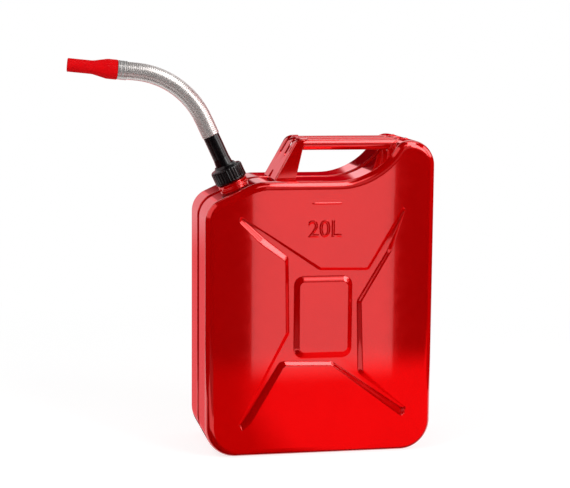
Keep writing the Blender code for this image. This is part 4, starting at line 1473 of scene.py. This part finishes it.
FRONT = -682.5
FAR = 3000.0
SKY, WINDOW, HAZE = grey(4.6), grey(2.5), grey(1.3)
FOOT_RED = (1.18, 0.036, 0.045)
FOOT_DARK = (0.40, 0, 0)
GAP_PINK = (0.80, 0.50, 0.51)
STUDIO = Studio(
    lamps=(
        Lamp("key", (1100, -1300, 1100), 17), Lamp("fill", (-1300, -700, 1500), 12),
    ),
    cards=(
        Card("front_card", (-1500, FRONT, -80), (1500, FRONT, 1500), (
            Patch(grey(0.92), x=(0.8, 271, 3), z=(-2, 356, 60, 12)),
            Patch(grey(0.92), x=(200, 271, 3), z=(356, 400, 12)),
            Patch(grey(0.30), x=(0.8, 430, 10), z=(540, 1100, 200)),
            Patch(grey(0.12), x=(-FAR, -200), z=(-900, 10)),
            Patch(FOOT_DARK, x=(-200, 5, 90), z=(-900, 10)),
            Patch(FOOT_RED, x=(5, FAR, 90), z=(-900, 10)),
            Patch(HAZE, x=(-190, 110), z=(1150, 1900)),
            Patch(SKY, x=(110, 760), z=(1000, 1900, 300)),
            Patch(SKY, x=(330, 900), z=(620, 1000, 100)),
        )),
        Card("floor_card", (-900, FRONT, -80), (1100, -40, -80), (
            Patch((0.80, 0.76, 0.75), x=(-FAR, -140), y=(-660, -420, 30)),
            Patch(FOOT_DARK, x=(-140, 5), y=(-900, -90, 30)),
            Patch(FOOT_RED, x=(5, FAR, 90), y=(-900, -90, 30)),
        )),
        Card("left_flag", (-900, FRONT, -80), (-900, 900, 1500), (
            Patch((0.15, 0, 0)),
            Patch(grey(0.70), z=(450, 1900, 100)),
        )),
        Card("right_flag", (900, FRONT, -80), (900, 900, 1500), (
            Patch((0.35, 0, 0)),
            Patch(WINDOW, y=(-450, 150, 80), z=(620, 1100)),
            Patch(WINDOW, y=(-640, -450, 80), z=(860, 1100)),
        )),
        Card("back_flag", (150, 1500, -300), (1600, 1500, 1000), (
            Patch((0.45, 0, 0.004)),
            Patch((0.90, 0.60, 0.62), x=(60, 330), z=(735, 1200, 40)),
            Patch(GAP_PINK, x=(60, 190, 40), z=(590, 690, 30)),
        )),
        Card("back_left_card", (-950, 1500, -900), (-230, 1500, 1300), (
            Patch((0.85, 0.11, 0.12), z=(-1200, 130, 140)),
            Patch((0.90, 0.30, 0.32), z=(130, 760, 140)),
            Patch((0.75, 0.50, 0.51), z=(760, 1600, 140)),
        )),
        Card("back_middle_card", (-230, 1500, -900), (150, 1500, 1300), (
            Patch((0.10, 0, 0.002)),
            Patch((0.86, 0.22, 0.24), x=(-600, -140, 80), z=(-1200, 720)),
            Patch(GAP_PINK, x=(60, 400, 40), z=(590, 690, 30)),
        )),
        Card("ceiling_card", (-1500, FRONT, 1500), (1500, 0, 1500), (
            Patch(SKY, x=(130, 700)),
            Patch(HAZE, x=(-190, 130), y=(-900, -520)),
        )),
        Card("ceiling_back_card", (-1500, 0, 1500), (1600, 1500, 1500), (
            Patch(grey(0.70), x=(20, FAR, 100)),
        )),
    ),
)


def main() -> None:
    """Build the camera, the studio and each sub-assembly in order."""
    logging.basicConfig(level=logging.INFO, format="%(message)s")
    Camera().build()
    STUDIO.build()
    enamel = Enamel().make()
    rubber = Moulding("black_rubber", (0.018, 0.018, 0.018), (0.03, 0.03, 0.03), 0.7, 0.05).make()
    black = Moulding("black_nylon", (0.0025, 0.0014, 0.0018), (0.005, 0.0035, 0.004), 0.20,
                     0.02).make()
    red = Moulding("red_nylon", (0.84, 0.0008, 0.003), (0.74, 0.001, 0.004), 0.55, 0.02,
                   0.06).make()
    hose = Steel("hose_steel", (0.74, 0.70, 0.68), (0.68, 0.64, 0.62), 0.26,
                 metallic=0.60, depth=0.001).make()
    sleeve = Steel("sleeve_steel", (0.68, 0.66, 0.64), (0.54, 0.52, 0.51), 0.26,
                   (0.1, 0.1, 3), NOZZLE_AXIS.tilt, 0.55).make()
    zinc = Steel("zinc_steel", (0.60, 0.61, 0.63), (0.42, 0.43, 0.46), 0.38).make()
    for half in Half:
        PressedShell(half, enamel).build()
    BodyDetails(enamel).build()
    for name, y, seat in (("front", -TUBE_SPACING, Seat.SKIN), ("middle", 0, Seat.SEAM_FLOOR),
                          ("rear", TUBE_SPACING, Seat.SKIN)):
        HandleTube(f"handle_bar_{name}", y, seat, enamel).build()
    HandleBracket(enamel).build()
    HandleCover(enamel).build()
    FillerNeck(enamel, rubber, zinc).build()
    CouplingNut(black).build()
    SpoutAdapter(black, zinc).build()
    SpoutHose(hose).build()
    Nozzle(sleeve, red).build()


if __name__ == "__main__":
    main()
